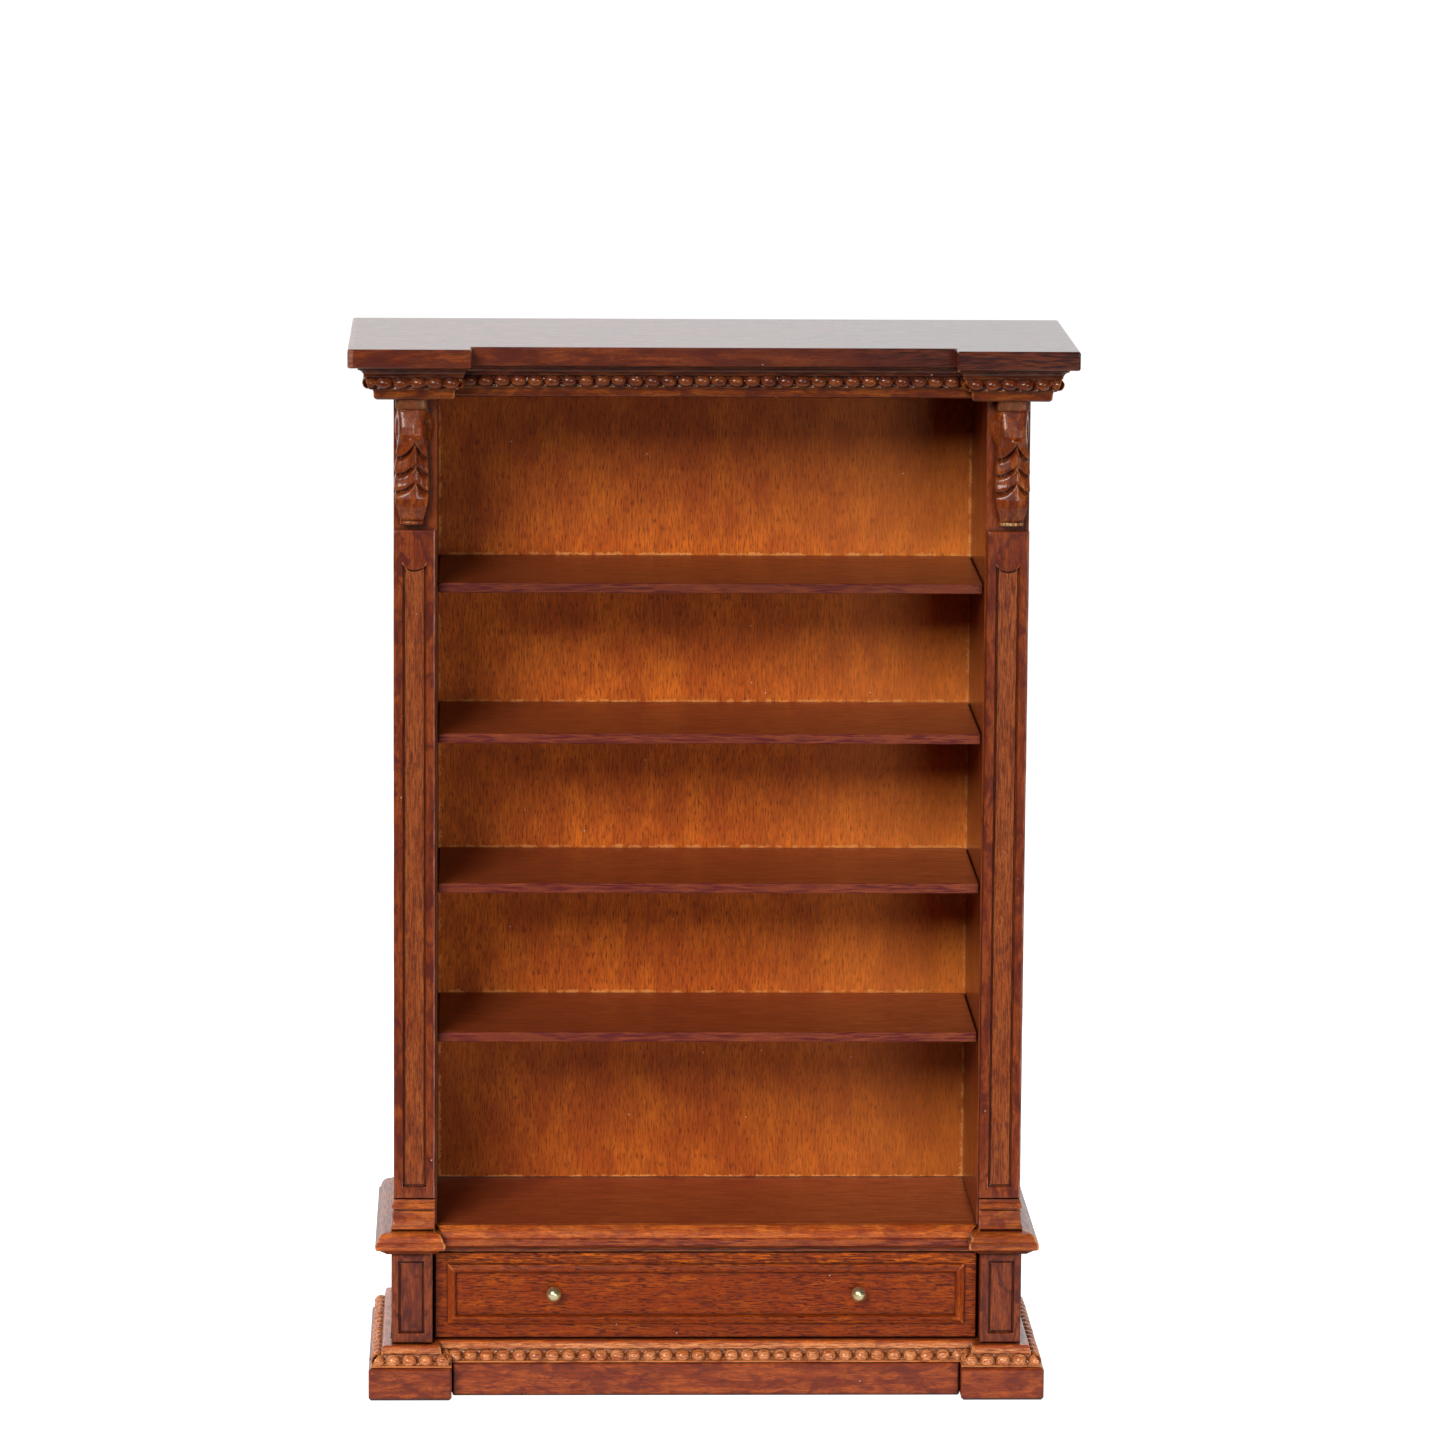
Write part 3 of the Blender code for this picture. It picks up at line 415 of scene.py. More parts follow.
# Below its top rail the drawer front is darker: partly its own darker field, partly painted shade
dark_field_and_shade = below("Z", frame_top - 0.4, frame_top, DARK_FIELD_AND_SHADE)
amber_x = wood("drawer_wood_across", "X", AMBER, streak=1.8, mottle=0.9, coat=0.03, tints=[dark_field_and_shade])
amber_z = wood("drawer_wood_upright", "Z", AMBER, mottle=0.7, coat=0.03, tints=[dark_field_and_shade])
plain_x = wood("drawer_box_wood_across", "X", HONEY, mottle=0.3, rough=0.5, coat=0.1)
plain_y = wood("drawer_box_wood_deep", "Y", HONEY, mottle=0.3, rough=0.5, coat=0.1)

shelf_front = box("shelf_1")[0].y + 0.2
plum_lip = below("Y", shelf_front, shelf_front + 0.15, PLUM_LIP)
# The right part of each shelf is lightened with painted light
painted_light_right = above("X", 0, box("shelf_1")[1].x, PAINTED_SHELF_LIGHT)
shelf_tints = [painted_light_right, plum_lip]
shelf_x = wood("shelf_wood", "X", SHELF, streak=0.5, mottle=0.5, rough=0.42, coat=0.25, tints=shelf_tints)
shelf_tops = [box(name)[1].z for name in ("deck_shelf", "shelf_1", "shelf_2", "shelf_3", "shelf_4")]
seen_half = -box("upper_back")[0].x - 1.4
sheet_z = sheet_wood("back_sheet", SHEET, shelf_tops, seen_half, box("upper_back")[0].y)
knob_brass = brass("polished_brass")


# Shapes --------------------------------------------------------------------------------


# The unevenness left by hand work: how far a slow wave and a ripple reach, and how long they are
WAVE = 0.03
WAVE_LENGTH = 7
RIPPLE = 0.014
RIPPLE_LENGTH = 1.6
# Blender starts this noise from the clock, so it has to be seeded to come out the same each run
HAND_SEED = 1
noise.seed_set(HAND_SEED)
# Steps in each rounded corner of an outline
EASE_STEPS = 4


def hand_finished(point):
    """The point as hand work leaves it. It depends on place alone, so neighbours still meet."""
    here = Vector(point)
    wave = WAVE * noise.noise_vector(here / WAVE_LENGTH)
    ripple = RIPPLE * noise.noise_vector(here / RIPPLE_LENGTH)
    return here + wave + ripple


def dress(piece, node):
    """Gives a piece its own stretch of grain and its own depth of stain."""
    piece["grain_shift"] = GRAIN_STEP * sorted(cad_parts).index(node)
    piece["stain"] = next((depth for start, depth in STAIN.items() if node.startswith(start)), 1.0)


def add_piece(name, points, faces, body, stands_for, material, uneven=True, crease=38):
    """One closed mesh from points in millimetres, riding on a body in place of CAD nodes."""
    if uneven:
        points = [hand_finished(point) for point in points]
    mesh = bpy.data.meshes.new(name)
    mesh.from_pydata([Vector(point) * MM for point in points], [], faces)
    shell = bmesh.new()
    shell.from_mesh(mesh)
    bmesh.ops.recalc_face_normals(shell, faces=shell.faces)
    shell.to_mesh(mesh)
    shell.free()
    mesh.shade_smooth()
    mesh.set_sharp_from_angle(angle=math.radians(crease))
    mesh.materials.append(material)
    piece = bpy.data.objects.new(name, mesh)
    bpy.context.scene.collection.objects.link(piece)
    flatten = piece.modifiers.new("flat_faces_stay_flat", "WEIGHTED_NORMAL")
    flatten.keep_sharp = True
    dress(piece, stands_for[0])
    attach(piece, body)
    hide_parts(*stands_for)
    return piece


def loft(rings):
    """Points and faces of a closed skin through rings of the same count."""
    around = len(rings[0])
    last = (len(rings) - 1) * around
    faces = [tuple(range(around)), tuple(range(last, last + around))]
    for low in range(0, last, around):
        for i in range(around):
            j = (i + 1) % around
            faces.append((low + i, low + j, low + around + j, low + around + i))
    return [point for ring in rings for point in ring], faces


def eased(corners):
    """Outline through (a, b, radius) corners, each corner rounded off over its radius."""
    outline = []
    for i, (a, b, radius) in enumerate(corners):
        if not radius:
            outline.append((a, b))
            continue
        here = Vector((a, b))
        before = Vector(corners[i - 1][:2]) - here
        after = Vector(corners[(i + 1) % len(corners)][:2]) - here
        start = here + before.normalized() * min(radius, before.length / 2)
        end = here + after.normalized() * min(radius, after.length / 2)
        for step in range(EASE_STEPS + 1):
            t = step / EASE_STEPS
            outline.append(tuple(start * (1 - t) ** 2 + here * 2 * t * (1 - t) + end * t * t))
    return outline


def handed(span, side):
    """A span of x on the right-hand side, or its mirror image on the left."""
    return span if side > 0 else (-span[1], -span[0])


# Mouldings -----------------------------------------------------------------------------

PEARL_PITCH = 2.78
# How far the ground between pearls is cut below the bed
HOLLOW = 0.3
# How much pearls differ in place, width and height
PEARL_ODD_PLACE = 0.05
PEARL_ODD_WIDTH = 0.06
PEARL_ODD_RISE = 0.12
PEARL_WIDTH = 0.97
# Rows across the pearl bed, and stations along each pitch of a pearled run and along a plain one
BED_ROWS = 12
STATIONS_PER_PEARL = 14
PLAIN_STATION = 1.2


class Run:
    """A straight length of moulding on a wall line, with along and out as unit vectors in plan.

    Each end is (position, mitre, least): it moves out by mitre times the projection, which
    counts as at least the given amount.
    """

    def __init__(self, wall, along, out, start, end):
        self.wall = wall
        self.along = along
        self.out = out
        self.start = start
        self.end = end

    def start_at(self, p):
        position, mitre, least = self.start
        return position - mitre * max(p, least)

    def end_at(self, p):
        position, mitre, least = self.end
        return position + mitre * max(p, least)

    def place(self, s, p, z):
        x = self.wall[0] + self.along[0] * s + self.out[0] * p
        y = self.wall[1] + self.along[1] * s + self.out[1] * p
        return (x, y, z)


class Pearls:
    """A row of beads on a sloping bed from (p, z) to (p, z), with a bead centred on first.

    size: how far they rise, their length, and a power that makes them squarer above 2.
    """

    def __init__(self, bed, size, first, seed):
        (p0, z0), (p1, z1) = bed
        self.rise, self.length, self.power = size
        self.width = math.hypot(p1 - p0, z1 - z0)
        self.normal = ((z0 - z1) / self.width, (p1 - p0) / self.width)
        self.middle = (p0 + p1) / 2
        self.first = first
        self.seed = seed

    def lifted(self, s, share, p, z):
        """The bed point at this share of its width, raised to the bead's surface."""
        number = round((s - self.first) / PEARL_PITCH)
        odd = noise.cell_vector(Vector((number, self.seed, 0.5)))
        centre = self.first + (number + PEARL_ODD_PLACE * (odd.x - 0.5)) * PEARL_PITCH
        along = (s - centre) / (self.length / 2)
        across = (share - 0.5) * 2 / (PEARL_WIDTH - PEARL_ODD_WIDTH * odd.y)
        inside = 1 - abs(along) ** self.power - abs(across) ** self.power
        if inside > 0:
            lift = self.rise * (1 + PEARL_ODD_RISE * (odd.z - 0.5)) * math.sqrt(inside)
        else:
            lift = -HOLLOW * min(1.0, -3 * inside) * (1 - (2 * share - 1) ** 6)
        return p + lift * self.normal[0], z + lift * self.normal[1]


def moulding(name, run, section, material, pearls=None):
    """Closed section of (p, z, share across the pearl bed or None) swept along a run."""
    step = PEARL_PITCH / STATIONS_PER_PEARL if pearls else PLAIN_STATION
    count = max(3, round((run.end_at(0) - run.start_at(0)) / step) + 1)
    rings = []
    for i in range(count):
        t = i / (count - 1)
        ring = []
        for p, z, share in section:
            s = run.start_at(p) * (1 - t) + run.end_at(p) * t
            if share is not None:
                p, z = pearls.lifted(s, share, p, z)
            ring.append(run.place(s, p, z))
        rings.append(ring)
    points, faces = loft(rings)
    return add_piece(name + "_fine", points, faces, "case", [name], material)


def section_of(face, back, bed=None):
    """Closed section from the face's corners, with rows across the pearl bed if there is one."""
    corners = [(back, face[0][1], 0), *face, (back, face[-1][1], 0)]
    section = []
    for p, z in eased(corners):
        section.append((p, z, None))
        if bed and math.dist((p, z), bed[0]) < 1e-6:
            for row in range(1, BED_ROWS):
                share = row / BED_ROWS
                middle = [start + share * (end - start) for start, end in zip(*bed)]
                section.append((*middle, share))
    return section


class Family:
    """The wall lines of one moulding family, read back from its CAD nodes."""

    def __init__(self, name, centre, reach):
        self.name = name
        self.centre = centre
        self.side_x = box(name + "_side_right")[1].x - reach
        self.front_y = box(name + "_front_right")[0].y + reach
        self.return_x = box(name + "_return_right")[0].x + reach
        self.centre_y = box(centre)[0].y + reach
        self.back_y = box(name + "_side_right")[1].y

    def side(self, side, least):
        start = (self.front_y, 1, least)
        end = (self.back_y, 0, 0)
        return Run((side * self.side_x, 0.0), (0, 1), (side, 0), start, end)

    def front(self, side, inner_least):
        outer = (side * self.side_x, 1, 0.0)
        inner = (side * self.return_x, 1, inner_least)
        ends = (inner, outer) if side > 0 else (outer, inner)
        return Run((0.0, self.front_y), (1, 0), (0, -1), *ends)

    def turn_back(self, side, least):
        start = (self.front_y, 1, least)
        end = (self.centre_y, -1, least)
        return Run((side * self.return_x, 0.0), (0, 1), (-side, 0), start, end)

    def middle(self, least):
        start = (-self.return_x, -1, least)
        end = (self.return_x, -1, least)
        return Run((0.0, self.centre_y), (1, 0), (0, -1), start, end)


def pearled_family(family, face, bed, size, backs, leasts, materials):
    """The seven runs of a moulding with pearls of a size.

    backs and leasts are for the centre, front, return and side; materials for across and deep.
    """
    across, deep = materials
    middle = (bed[0][0] + bed[1][0]) / 2
    run = family.middle(leasts[0])
    first = run.start_at(middle) + PEARL_PITCH / 2
    pearls = Pearls(bed, size, first, 1)
    moulding(family.centre, run, section_of(face, backs[0], bed), across, pearls)
    for side, word in SIDES:
        seed = 3 + side
        run = family.front(side, leasts[1])
        corner = run.end_at(middle) if side > 0 else run.start_at(middle)
        name = family.name + "_front_" + word
        moulding(name, run, section_of(face, backs[1], bed), across, Pearls(bed, size, corner, seed))
        run = family.turn_back(side, leasts[2])
        corner = run.start_at(middle) + 0.4 * PEARL_PITCH
        name = family.name + "_return_" + word
        moulding(name, run, section_of(face, backs[2], bed), deep, Pearls(bed, size, corner, seed + 4))
        run = family.side(side, leasts[3])
        name = family.name + "_side_" + word
        first = run.start_at(middle)
        moulding(name, run, section_of(face, backs[3], bed), deep, Pearls(bed, size, first, seed + 8))


def add_cornice():
    reach = 5.85
    foot, top = box("cornice_centre")[0].z, box("cornice_centre")[1].z
    bed = ((4.62, foot + 3.85), (3.85, foot + 1.95))
    face = [
        (reach, top, 0),
        (reach, top - 0.35, 0.12),
        (5.35, top - 0.55, 0.3),
        (4.95, top - 1.0, 0.4),
        (4.85, top - 1.55, 0.1),
        (*bed[0], 0),
        (*bed[1], 0),
        (3.98, foot + 1.85, 0.06),
        (3.38, foot + 1.7, 0.12),
        (3.3, foot + 1.45, 0.15),
        (3.22, foot + 0.35, 0.25),
        (2.75, foot, 0.1),
    ]
    family = Family("cornice", "cornice_centre", reach)
    backs, leasts = (-1.5, -1.5, 0.5, 0.1), (0.5, 0.4, 0.5, 0.1)
    pearled_family(family, face, bed, (0.84, 2.64, 2.3), backs, leasts, (cornice_x, cornice_y))


def add_base_moulding():
    reach = 3.3
    foot, top = box("base_centre")[0].z, box("base_centre")[1].z
    bed = ((1.5, top - 1.5), (3.12, foot + 0.25))
    face = [
        (1.05, top, 0.08),
        (1.3, top - 0.15, 0.12),
        (1.58, top - 1.3, 0.1),
        (*bed[0], 0),
        (*bed[1], 0),
        (reach, foot + 0.24, 0.08),
        (reach, foot, 0),
    ]
    family = Family("base", "base_centre", reach)
    front_back = box("base_front_right")[1].y - family.front_y
    backs, leasts = (0.0, -front_back, 0.05, 0.05), (0.05, 0.0, 0.05, 0.05)
    pearled_family(family, face, bed, (0.88, 2.36, 2.1), backs, leasts, (base_x, base_y))


def add_waist():
    reach = 2.95
    foot, top = box("waist_front_right")[0].z, box("waist_front_right")[1].z
    deck = box("deck_nosing")[1].z
    roll_form = [
        (2.4, 27.95, 0.5),
        (2.55, 27.3, 0.12),
        (2.88, 27.12, 0.15),
        (reach, 26.6, 0.35),
        (2.8, 25.95, 0.25),
        (2.2, 25.8, 0.15),
        (1.7, 25.45, 0.2),
    ]
    ledge = [(1.3, deck - 0.55, 0.2), (1.95, 28.55, 0.4), *roll_form, (1.2, 25.1, 0.15), (1.05, foot, 0)]
    face = [(0.1, top, 0), (0.3, deck - 0.4, 0.08), *ledge]
    inner = [(1.0, deck - 0.1, 0), *ledge]
    nosing_foot = [(0.9, 25.2, 0.1), (0.5, 25.05, 0.1), (0.5, box("deck_nosing")[0].z, 0)]
    nosing = [(1.35, deck, 0.1), (1.95, 28.7, 0.5), *roll_form, *nosing_foot]
    family = Family("waist", "deck_nosing", reach)
    front_back = box("waist_front_right")[1].y - family.front_y
    moulding("deck_nosing", family.middle(0.95), section_of(nosing, -0.3), nosing_x)
    for side, word in SIDES:
        front = section_of(face, -front_back)
        moulding("waist_front_" + word, family.front(side, 0.85), front, waist_x)
        moulding("waist_return_" + word, family.turn_back(side, 0.95), section_of(inner, 0.95), waist_y)
        moulding("waist_side_" + word, family.side(side, 0.1), section_of(face, 0.1), waist_y)


# Pilasters -----------------------------------------------------------------------------


# Steps across the foot of a panel, up its sides and over its crown
FOOT_COUNT = 10
SIDE_COUNT = 40
CROWN_COUNT = 16
# Power of the crown's sag: below 1 it drops fast at the corners and is flat in the middle
CROWN_POWER = 0.45


def outline_ring(x, z, y, droop=0.0):
    """Points round a rectangle at depth y, whose top edge sags in the middle by droop."""
    ring = []
    for i in range(FOOT_COUNT):
        ring.append((x[0] + (x[1] - x[0]) * i / FOOT_COUNT, y, z[0]))
    for i in range(SIDE_COUNT):
        ring.append((x[1], y, z[0] + (z[1] - z[0]) * i / SIDE_COUNT))
    for i in range(CROWN_COUNT):
        share = i / CROWN_COUNT
        sag = droop * math.sin(math.pi * share) ** CROWN_POWER
        ring.append((x[1] + (x[0] - x[1]) * share, y, z[1] - sag))
    for i in range(SIDE_COUNT):
        ring.append((x[0], y, z[1] + (z[0] - z[1]) * i / SIDE_COUNT))
    return ring


def grown(span, by):
    return (span[0] - by, span[1] + by)


# Edge of a sunk panel from the face inwards as (how far outside the panel, depth)
PANEL_EDGE = (
    (0.26, 0.0),
    (0.14, 0.03),
    (0.04, 0.14),
    (-0.04, 0.5),
    (-0.1, 0.68),
    (-0.2, 0.7),
    (-0.3, 0.56),
    (-0.42, 0.5),
)


# Round of a block's outer arrises
ROUND_OFF = 0.3
ROUND_STEPS = 4


def sunk_block(name, sunk_x, sunk_z, droop, material, drop=0.0):
    """A block with a panel sunk into its front: soft outer arrises, a quirk and a raised field."""
    low, high = box(name)
    x, z = (low.x, high.x), (low.z - drop, high.z)
    face, back = low.y, high.y
    rings = [outline_ring(x, z, back)]
    for step in range(ROUND_STEPS + 1):
        angle = math.pi / 2 * step / ROUND_STEPS
        inset = ROUND_OFF * (1 - math.cos(angle))
        depth = face + ROUND_OFF * (1 - math.sin(angle))
        rings.append(outline_ring(grown(x, -inset), grown(z, -inset), depth))
    for by, depth in PANEL_EDGE:
        rings.append(outline_ring(grown(sunk_x, by), grown(sunk_z, by), face + depth, droop))
    points, faces = loft(rings)
    return add_piece(name + "_fine", points, faces, "case", [name], material)


# Panels of the right-hand strip and pedestal across, and how far the strip's panel sags
STRIP_PANEL_X = (47.8, 51.6)
PEDESTAL_PANEL_X = (48.1, 52.35)
STRIP_DROOP = 1.2
# How far the strips reach down past their CAD solids, onto feet that stand lower
STRIP_DROP = 1.05
STRIP_WIDTH = 7.0
# Share of a foot's swelling that also shows on its outer side
FOOT_SIDE_SHARE = 0.6
# Coved foot from the bottom to the top as (height, how far proud of the strip, radius)
FOOT_FORM = [
    (29.0, 0.62, 0),
    (29.27, 0.84, 0.1),
    (29.6, 0.66, 0.2),
    (30.4, 0.3, 0.8),
    (31.6, 0.2, 0.5),
    (32.2, 0.3, 0.15),
    (32.36, 0.02, 0.06),
    (32.56, 0.04, 0.06),
    (32.68, 0.52, 0.15),
    (33.48, 0.48, 0.25),
    (33.78, 0.12, 0.12),
    (34.2, 0.02, 0),
]


def add_pilasters():
    for side, word in SIDES:
        low, high = box("pilaster_" + word)
        across, up = handed(STRIP_PANEL_X, side), (low.z + 1.0, high.z - 5.6)
        sunk_block("pilaster_" + word, across, up, STRIP_DROOP, panelled_z, STRIP_DROP)
        low, high = box("pedestal_" + word)
        across, up = handed(PEDESTAL_PANEL_X, side), (low.z + 1.75, high.z - 1.45)
        sunk_block("pedestal_" + word, across, up, 0.0, pedestal_z)


def add_pilaster_feet():
    """Coved block under each strip: a flared foot, a cove, a groove and a collar at the top."""
    for side, word in SIDES:
        name = "pilaster_foot_" + word
        back = box(name)[1].y
        inner = box("pilaster_" + word)[0 if side > 0 else 1].x
        strip_face = box("pilaster_" + word)[0].y
        outer = inner + side * STRIP_WIDTH
        rings = []
        for z, proud in eased(FOOT_FORM):
            edge = outer + side * FOOT_SIDE_SHARE * proud
            face = strip_face - proud
            corners = [(inner, back, 0), (edge, back, 0), (edge, face, 0.25), (inner, face, 0.2)]
            rings.append([(x, y, z) for x, y in eased(corners)])
        points, faces = loft(rings)
        add_piece(name + "_fine", points, faces, "case", [name], honey_x)


# Carved brackets -----------------------------------------------------------------------

# Bracket outline from top to bottom as (height above the foot, half width, projection)
BRACKET_FORM = [
    (21.05, 2.68, 3.7),
    (19.5, 2.68, 3.7),
    (19.4, 2.34, 3.3),
    (19.0, 2.3, 3.5),
    (18.0, 2.16, 3.85),
    (16.6, 2.04, 4.25),
    (15.2, 2.02, 4.35),
    (13.6, 2.16, 3.85),
    (12.0, 2.5, 3.5),
    (9.5, 2.75, 3.35),
    (7.0, 2.8, 3.2),
    (5.6, 2.82, 3.3),
    (4.4, 2.74, 3.5),
    (3.3, 2.6, 3.45),
    (2.2, 2.35, 3.05),
    (1.2, 2.05, 2.6),
    (0.6, 1.9, 2.4),
]
# Grooves under the leaf tiers as (height at the middle, height at the side)
LEAF_GROOVES = ((14.0, 11.2), (10.3, 8.4), (7.4, 5.5))
HEAD_TOP = 18.8
# How far the stem between the lobes is carved off the middle
STEM = 0.26
CAP_FOOT = 19.45
# Lip at the bracket's foot as (height, how many times as proud as the tongue above it)
LIP_FORM = ((0.0, 1.16), (0.1, 1.2), (0.45, 1.2), (0.55, 1.16))
LIP_TOP = LIP_FORM[-1][0]
BRACKET_LEVELS = 130
BRACKET_X = 50.15
# Points across the carved front, and along each side
FRONT_COLUMNS = 42
SIDE_COLUMNS = 14
# Rise of a leaf tier, rounding of the front, depth and width of a groove, and rise of the stem
TIER_RISE = 0.5
FRONT_ROUND = 0.5
GROOVE_DEPTH = 0.56
GROOVE_WIDTH = 0.4
STEM_RISE = 0.42
# The scroll on each side: the middle of its height and half its height, and its flare to the back
SCROLL_MIDDLE = 16.2
SCROLL_HALF = 3.6
OUTER_FLARE = 0.8
INNER_FLARE = 1.8
LEAST_FLARE = 0.12
# The eye sunk in the scroll: its middle as (projection, height), its radii and its depth
EYE_MIDDLE = (2.2, 16.0)
EYE_RADII = (1.1, 1.9)
EYE_DEPTH = 1.3


def along_form(height, column):
    """The bracket outline's value at a height, eased between its rows."""
    for upper, lower in zip(BRACKET_FORM, BRACKET_FORM[1:]):
        if height >= lower[0]:
            t = min(1.0, (upper[0] - height) / (upper[0] - lower[0]))
            return upper[column] + (lower[column] - upper[column]) * t
    return BRACKET_FORM[-1][column]


def groove_height(groove, u):
    """A groove's height at u across the bracket, -1 to 1: steep at the middle, flatter outside."""
    middle, side = groove
    return side + (middle - side) * (1 - abs(u)) ** 2.3


def leaf_lift(u, height):
    """Height of the carving over the plain form at u across and this height."""
    if height > CAP_FOOT or height < LIP_TOP:
        return 0.0
    u = (u - STEM) / (1 - STEM if u > STEM else 1 + STEM)
    lift = 0.0
    levels = [groove_height(groove, u) for groove in LEAF_GROOVES]
    tops = [HEAD_TOP, *levels[:-1]]
    for tier, (top, level) in enumerate(zip(tops, levels)):
        if level < height <= top:
            fall = (top - height) / (top - level)
            lift += TIER_RISE * fall ** 1.2 * min(1.0, (height - level) / 0.22)
            if tier:
                # two faint veins down each lobe
                lift -= 0.07 * math.cos(9 * u) ** 4 * fall
    nearest = min(abs(height - level) for level in levels)
    lift -= GROOVE_DEPTH * math.exp(-((nearest / GROOVE_WIDTH) ** 2)) * min(1.0, abs(u) * 4)
    if levels[1] - 1.0 < height < 14.5:
        # the stem, wider towards the top
        width = 0.16 + 0.02 * (height - 7)
        lift += STEM_RISE * math.exp(-((u / width) ** 2))
    if height < levels[2]:
        # a low ridge down the tongue
        lift += 0.18 * math.exp(-((u / 0.3) ** 2)) * max(0.0, min(1.0, (height - 3.4) / 2.5))
    return lift


def bracket_ring(middle, back, foot, height):
    """One level of the bracket: across the carved front, then back along both sides."""
    half = along_form(height, 1)
    proud = along_form(height, 2)
    half += 0.12 * leaf_lift(1.0, height) / TIER_RISE
    # the head is squarer across the front than the leaves
    squareness = 2.4 + 4.6 * min(1.0, max(0.0, (height - 13.5) / 1.5))
    ring = []
    for i in range(FRONT_COLUMNS + 1):
        u = -1 + 2 * i / FRONT_COLUMNS
        out = proud - FRONT_ROUND * abs(u) ** squareness + leaf_lift(u, height)
        ring.append((middle + half * u, back - out, foot + height))
    reach = proud - FRONT_ROUND + leaf_lift(1.0, height)
    # the scroll's side flares out to the board behind, with an eye sunk in it
    if height < CAP_FOOT:
        scroll = max(0.0, 1 - ((height - SCROLL_MIDDLE) / SCROLL_HALF) ** 2)
    else:
        scroll = 0.0
    for side in (1, -1):
        flare = max(LEAST_FLARE, scroll * (OUTER_FLARE if side * middle > 0 else INNER_FLARE))
        columns = range(1, SIDE_COLUMNS + 1) if side > 0 else range(SIDE_COLUMNS, 0, -1)
        for i in columns:
            share = i / SIDE_COLUMNS
            out = reach * (1 - share)
            eye = ((out - EYE_MIDDLE[0]) / EYE_RADII[0]) ** 2 + ((height - EYE_MIDDLE[1]) / EYE_RADII[1]) ** 2
            sink = EYE_DEPTH * max(0.0, 1 - eye) ** 0.5
            ring.append((middle + side * (half + flare * share - sink), back - out, foot + height))
    return ring


def add_brackets():
    for side, word in SIDES:
        name = "bracket_" + word
        low, high = box(name)
        middle = side * BRACKET_X
        tongue = bracket_ring(middle, high.y, low.z, LIP_TOP)
        rings = []
        for height, swell in LIP_FORM:
            rings.append([(x, high.y + (y - high.y) * swell, low.z + height) for x, y, _ in tongue])
        start = LIP_TOP + 0.07
        top = high.z - low.z
        for i in range(BRACKET_LEVELS + 1):
            height = start + (top - start) * i / BRACKET_LEVELS
            rings.append(bracket_ring(middle, high.y, low.z, height))
        points, faces = loft(rings)
        add_piece(name + "_fine", points, faces, "case", [name], carved[word], crease=60)


# Drawer --------------------------------------------------------------------------------


# Frame strip as (inwards from its outer edge, height over the drawer front, radius)
FRAME_FORM = [
    (0.0, 0.03, 0),
    (0.0, 0.6, 0.2),
    (0.5, 0.72, 0.15),
    (0.75, 0.86, 0.12),
    (1.2, 0.86, 0.2),
    (1.5, 0.4, 0.12),
    (1.5, 0.03, 0),
]
# Knob from the pin's end to the neck as (radius, out from the drawer front, rounding)
KNOB_FORM = [
    (0.35, -1.45, 0),
    (0.35, 0.03, 0),
    (0.78, 0.03, 0.05),
    (0.78, 0.3, 0.1),
    (0.5, 0.62, 0.15),
]
NECK_RADIUS = 0.52
BALL_RADIUS = 1.3
BALL_CENTRE = 1.9
BALL_STEPS = 17
TURNS = 48


def add_drawer_frame():
    """Four mitred strips round the drawer front: soft outer arris, flat and inner quirk."""
    section = eased(FRAME_FORM)
    left, right = box("drawer_frame_left")[0].x, box("drawer_frame_right")[1].x
    foot, top = box("drawer_frame_bottom")[0].z, box("drawer_frame_top")[1].z
    face = box("drawer_front")[0].y
    corners = [(left, foot), (right, foot), (right, top), (left, top)]
    inwards = [(1, 1), (-1, 1), (-1, -1), (1, -1)]
    for i, word in enumerate(("bottom", "right", "top", "left")):
        name = "drawer_frame_" + word
        long_way = word in ("bottom", "top")
        count = 60 if long_way else 8
        first, second = i, (i + 1) % 4
        rings = []
        for step in range(count + 1):
            t = step / count
            ring = []
            for inward, height in section:
                a = [corners[first][k] + inwards[first][k] * inward for k in (0, 1)]
                b = [corners[second][k] + inwards[second][k] * inward for k in (0, 1)]
                x, z = (a[k] + (b[k] - a[k]) * t for k in (0, 1))
                ring.append((x, face - height, z))
            rings.append(ring)
        points, faces = loft(rings)
        material = amber_x if long_way else amber_z
        add_piece(name + "_fine", points, faces, "drawer", [name], material)


def add_knobs():
    """Ball on a waisted neck and a thin collar, turned round the pin's axis."""
    form = eased(KNOB_FORM)
    start = math.asin(NECK_RADIUS / BALL_RADIUS)
    for step in range(BALL_STEPS):
        # the last ring stops half a step short of the tip, and closes it with a flat
        angle = start + (math.pi - start) * step / (BALL_STEPS - 0.5)
        form.append((BALL_RADIUS * math.sin(angle), BALL_CENTRE - BALL_RADIUS * math.cos(angle)))
    for _, word in SIDES:
        name = "knob_" + word
        low, high = box(name)
        x, z = (low.x + high.x) / 2, (low.z + high.z) / 2
        face = box("drawer_front")[0].y
        rings = []
        for r, out in form:
            ring = []
            for turn in range(TURNS):
                angle = 2 * math.pi * turn / TURNS
                ring.append((x + r * math.cos(angle), face - out, z + r * math.sin(angle)))
            rings.append(ring)
        points, faces = loft(rings)
        add_piece(name + "_fine", points, faces, "drawer", [name], knob_brass, uneven=False)


# Boards --------------------------------------------------------------------------------


# Corners nearer than this are one, in metres; edges sharper than this angle are softened
JOIN_REACH = 1e-6
ARRIS_ANGLE = 25


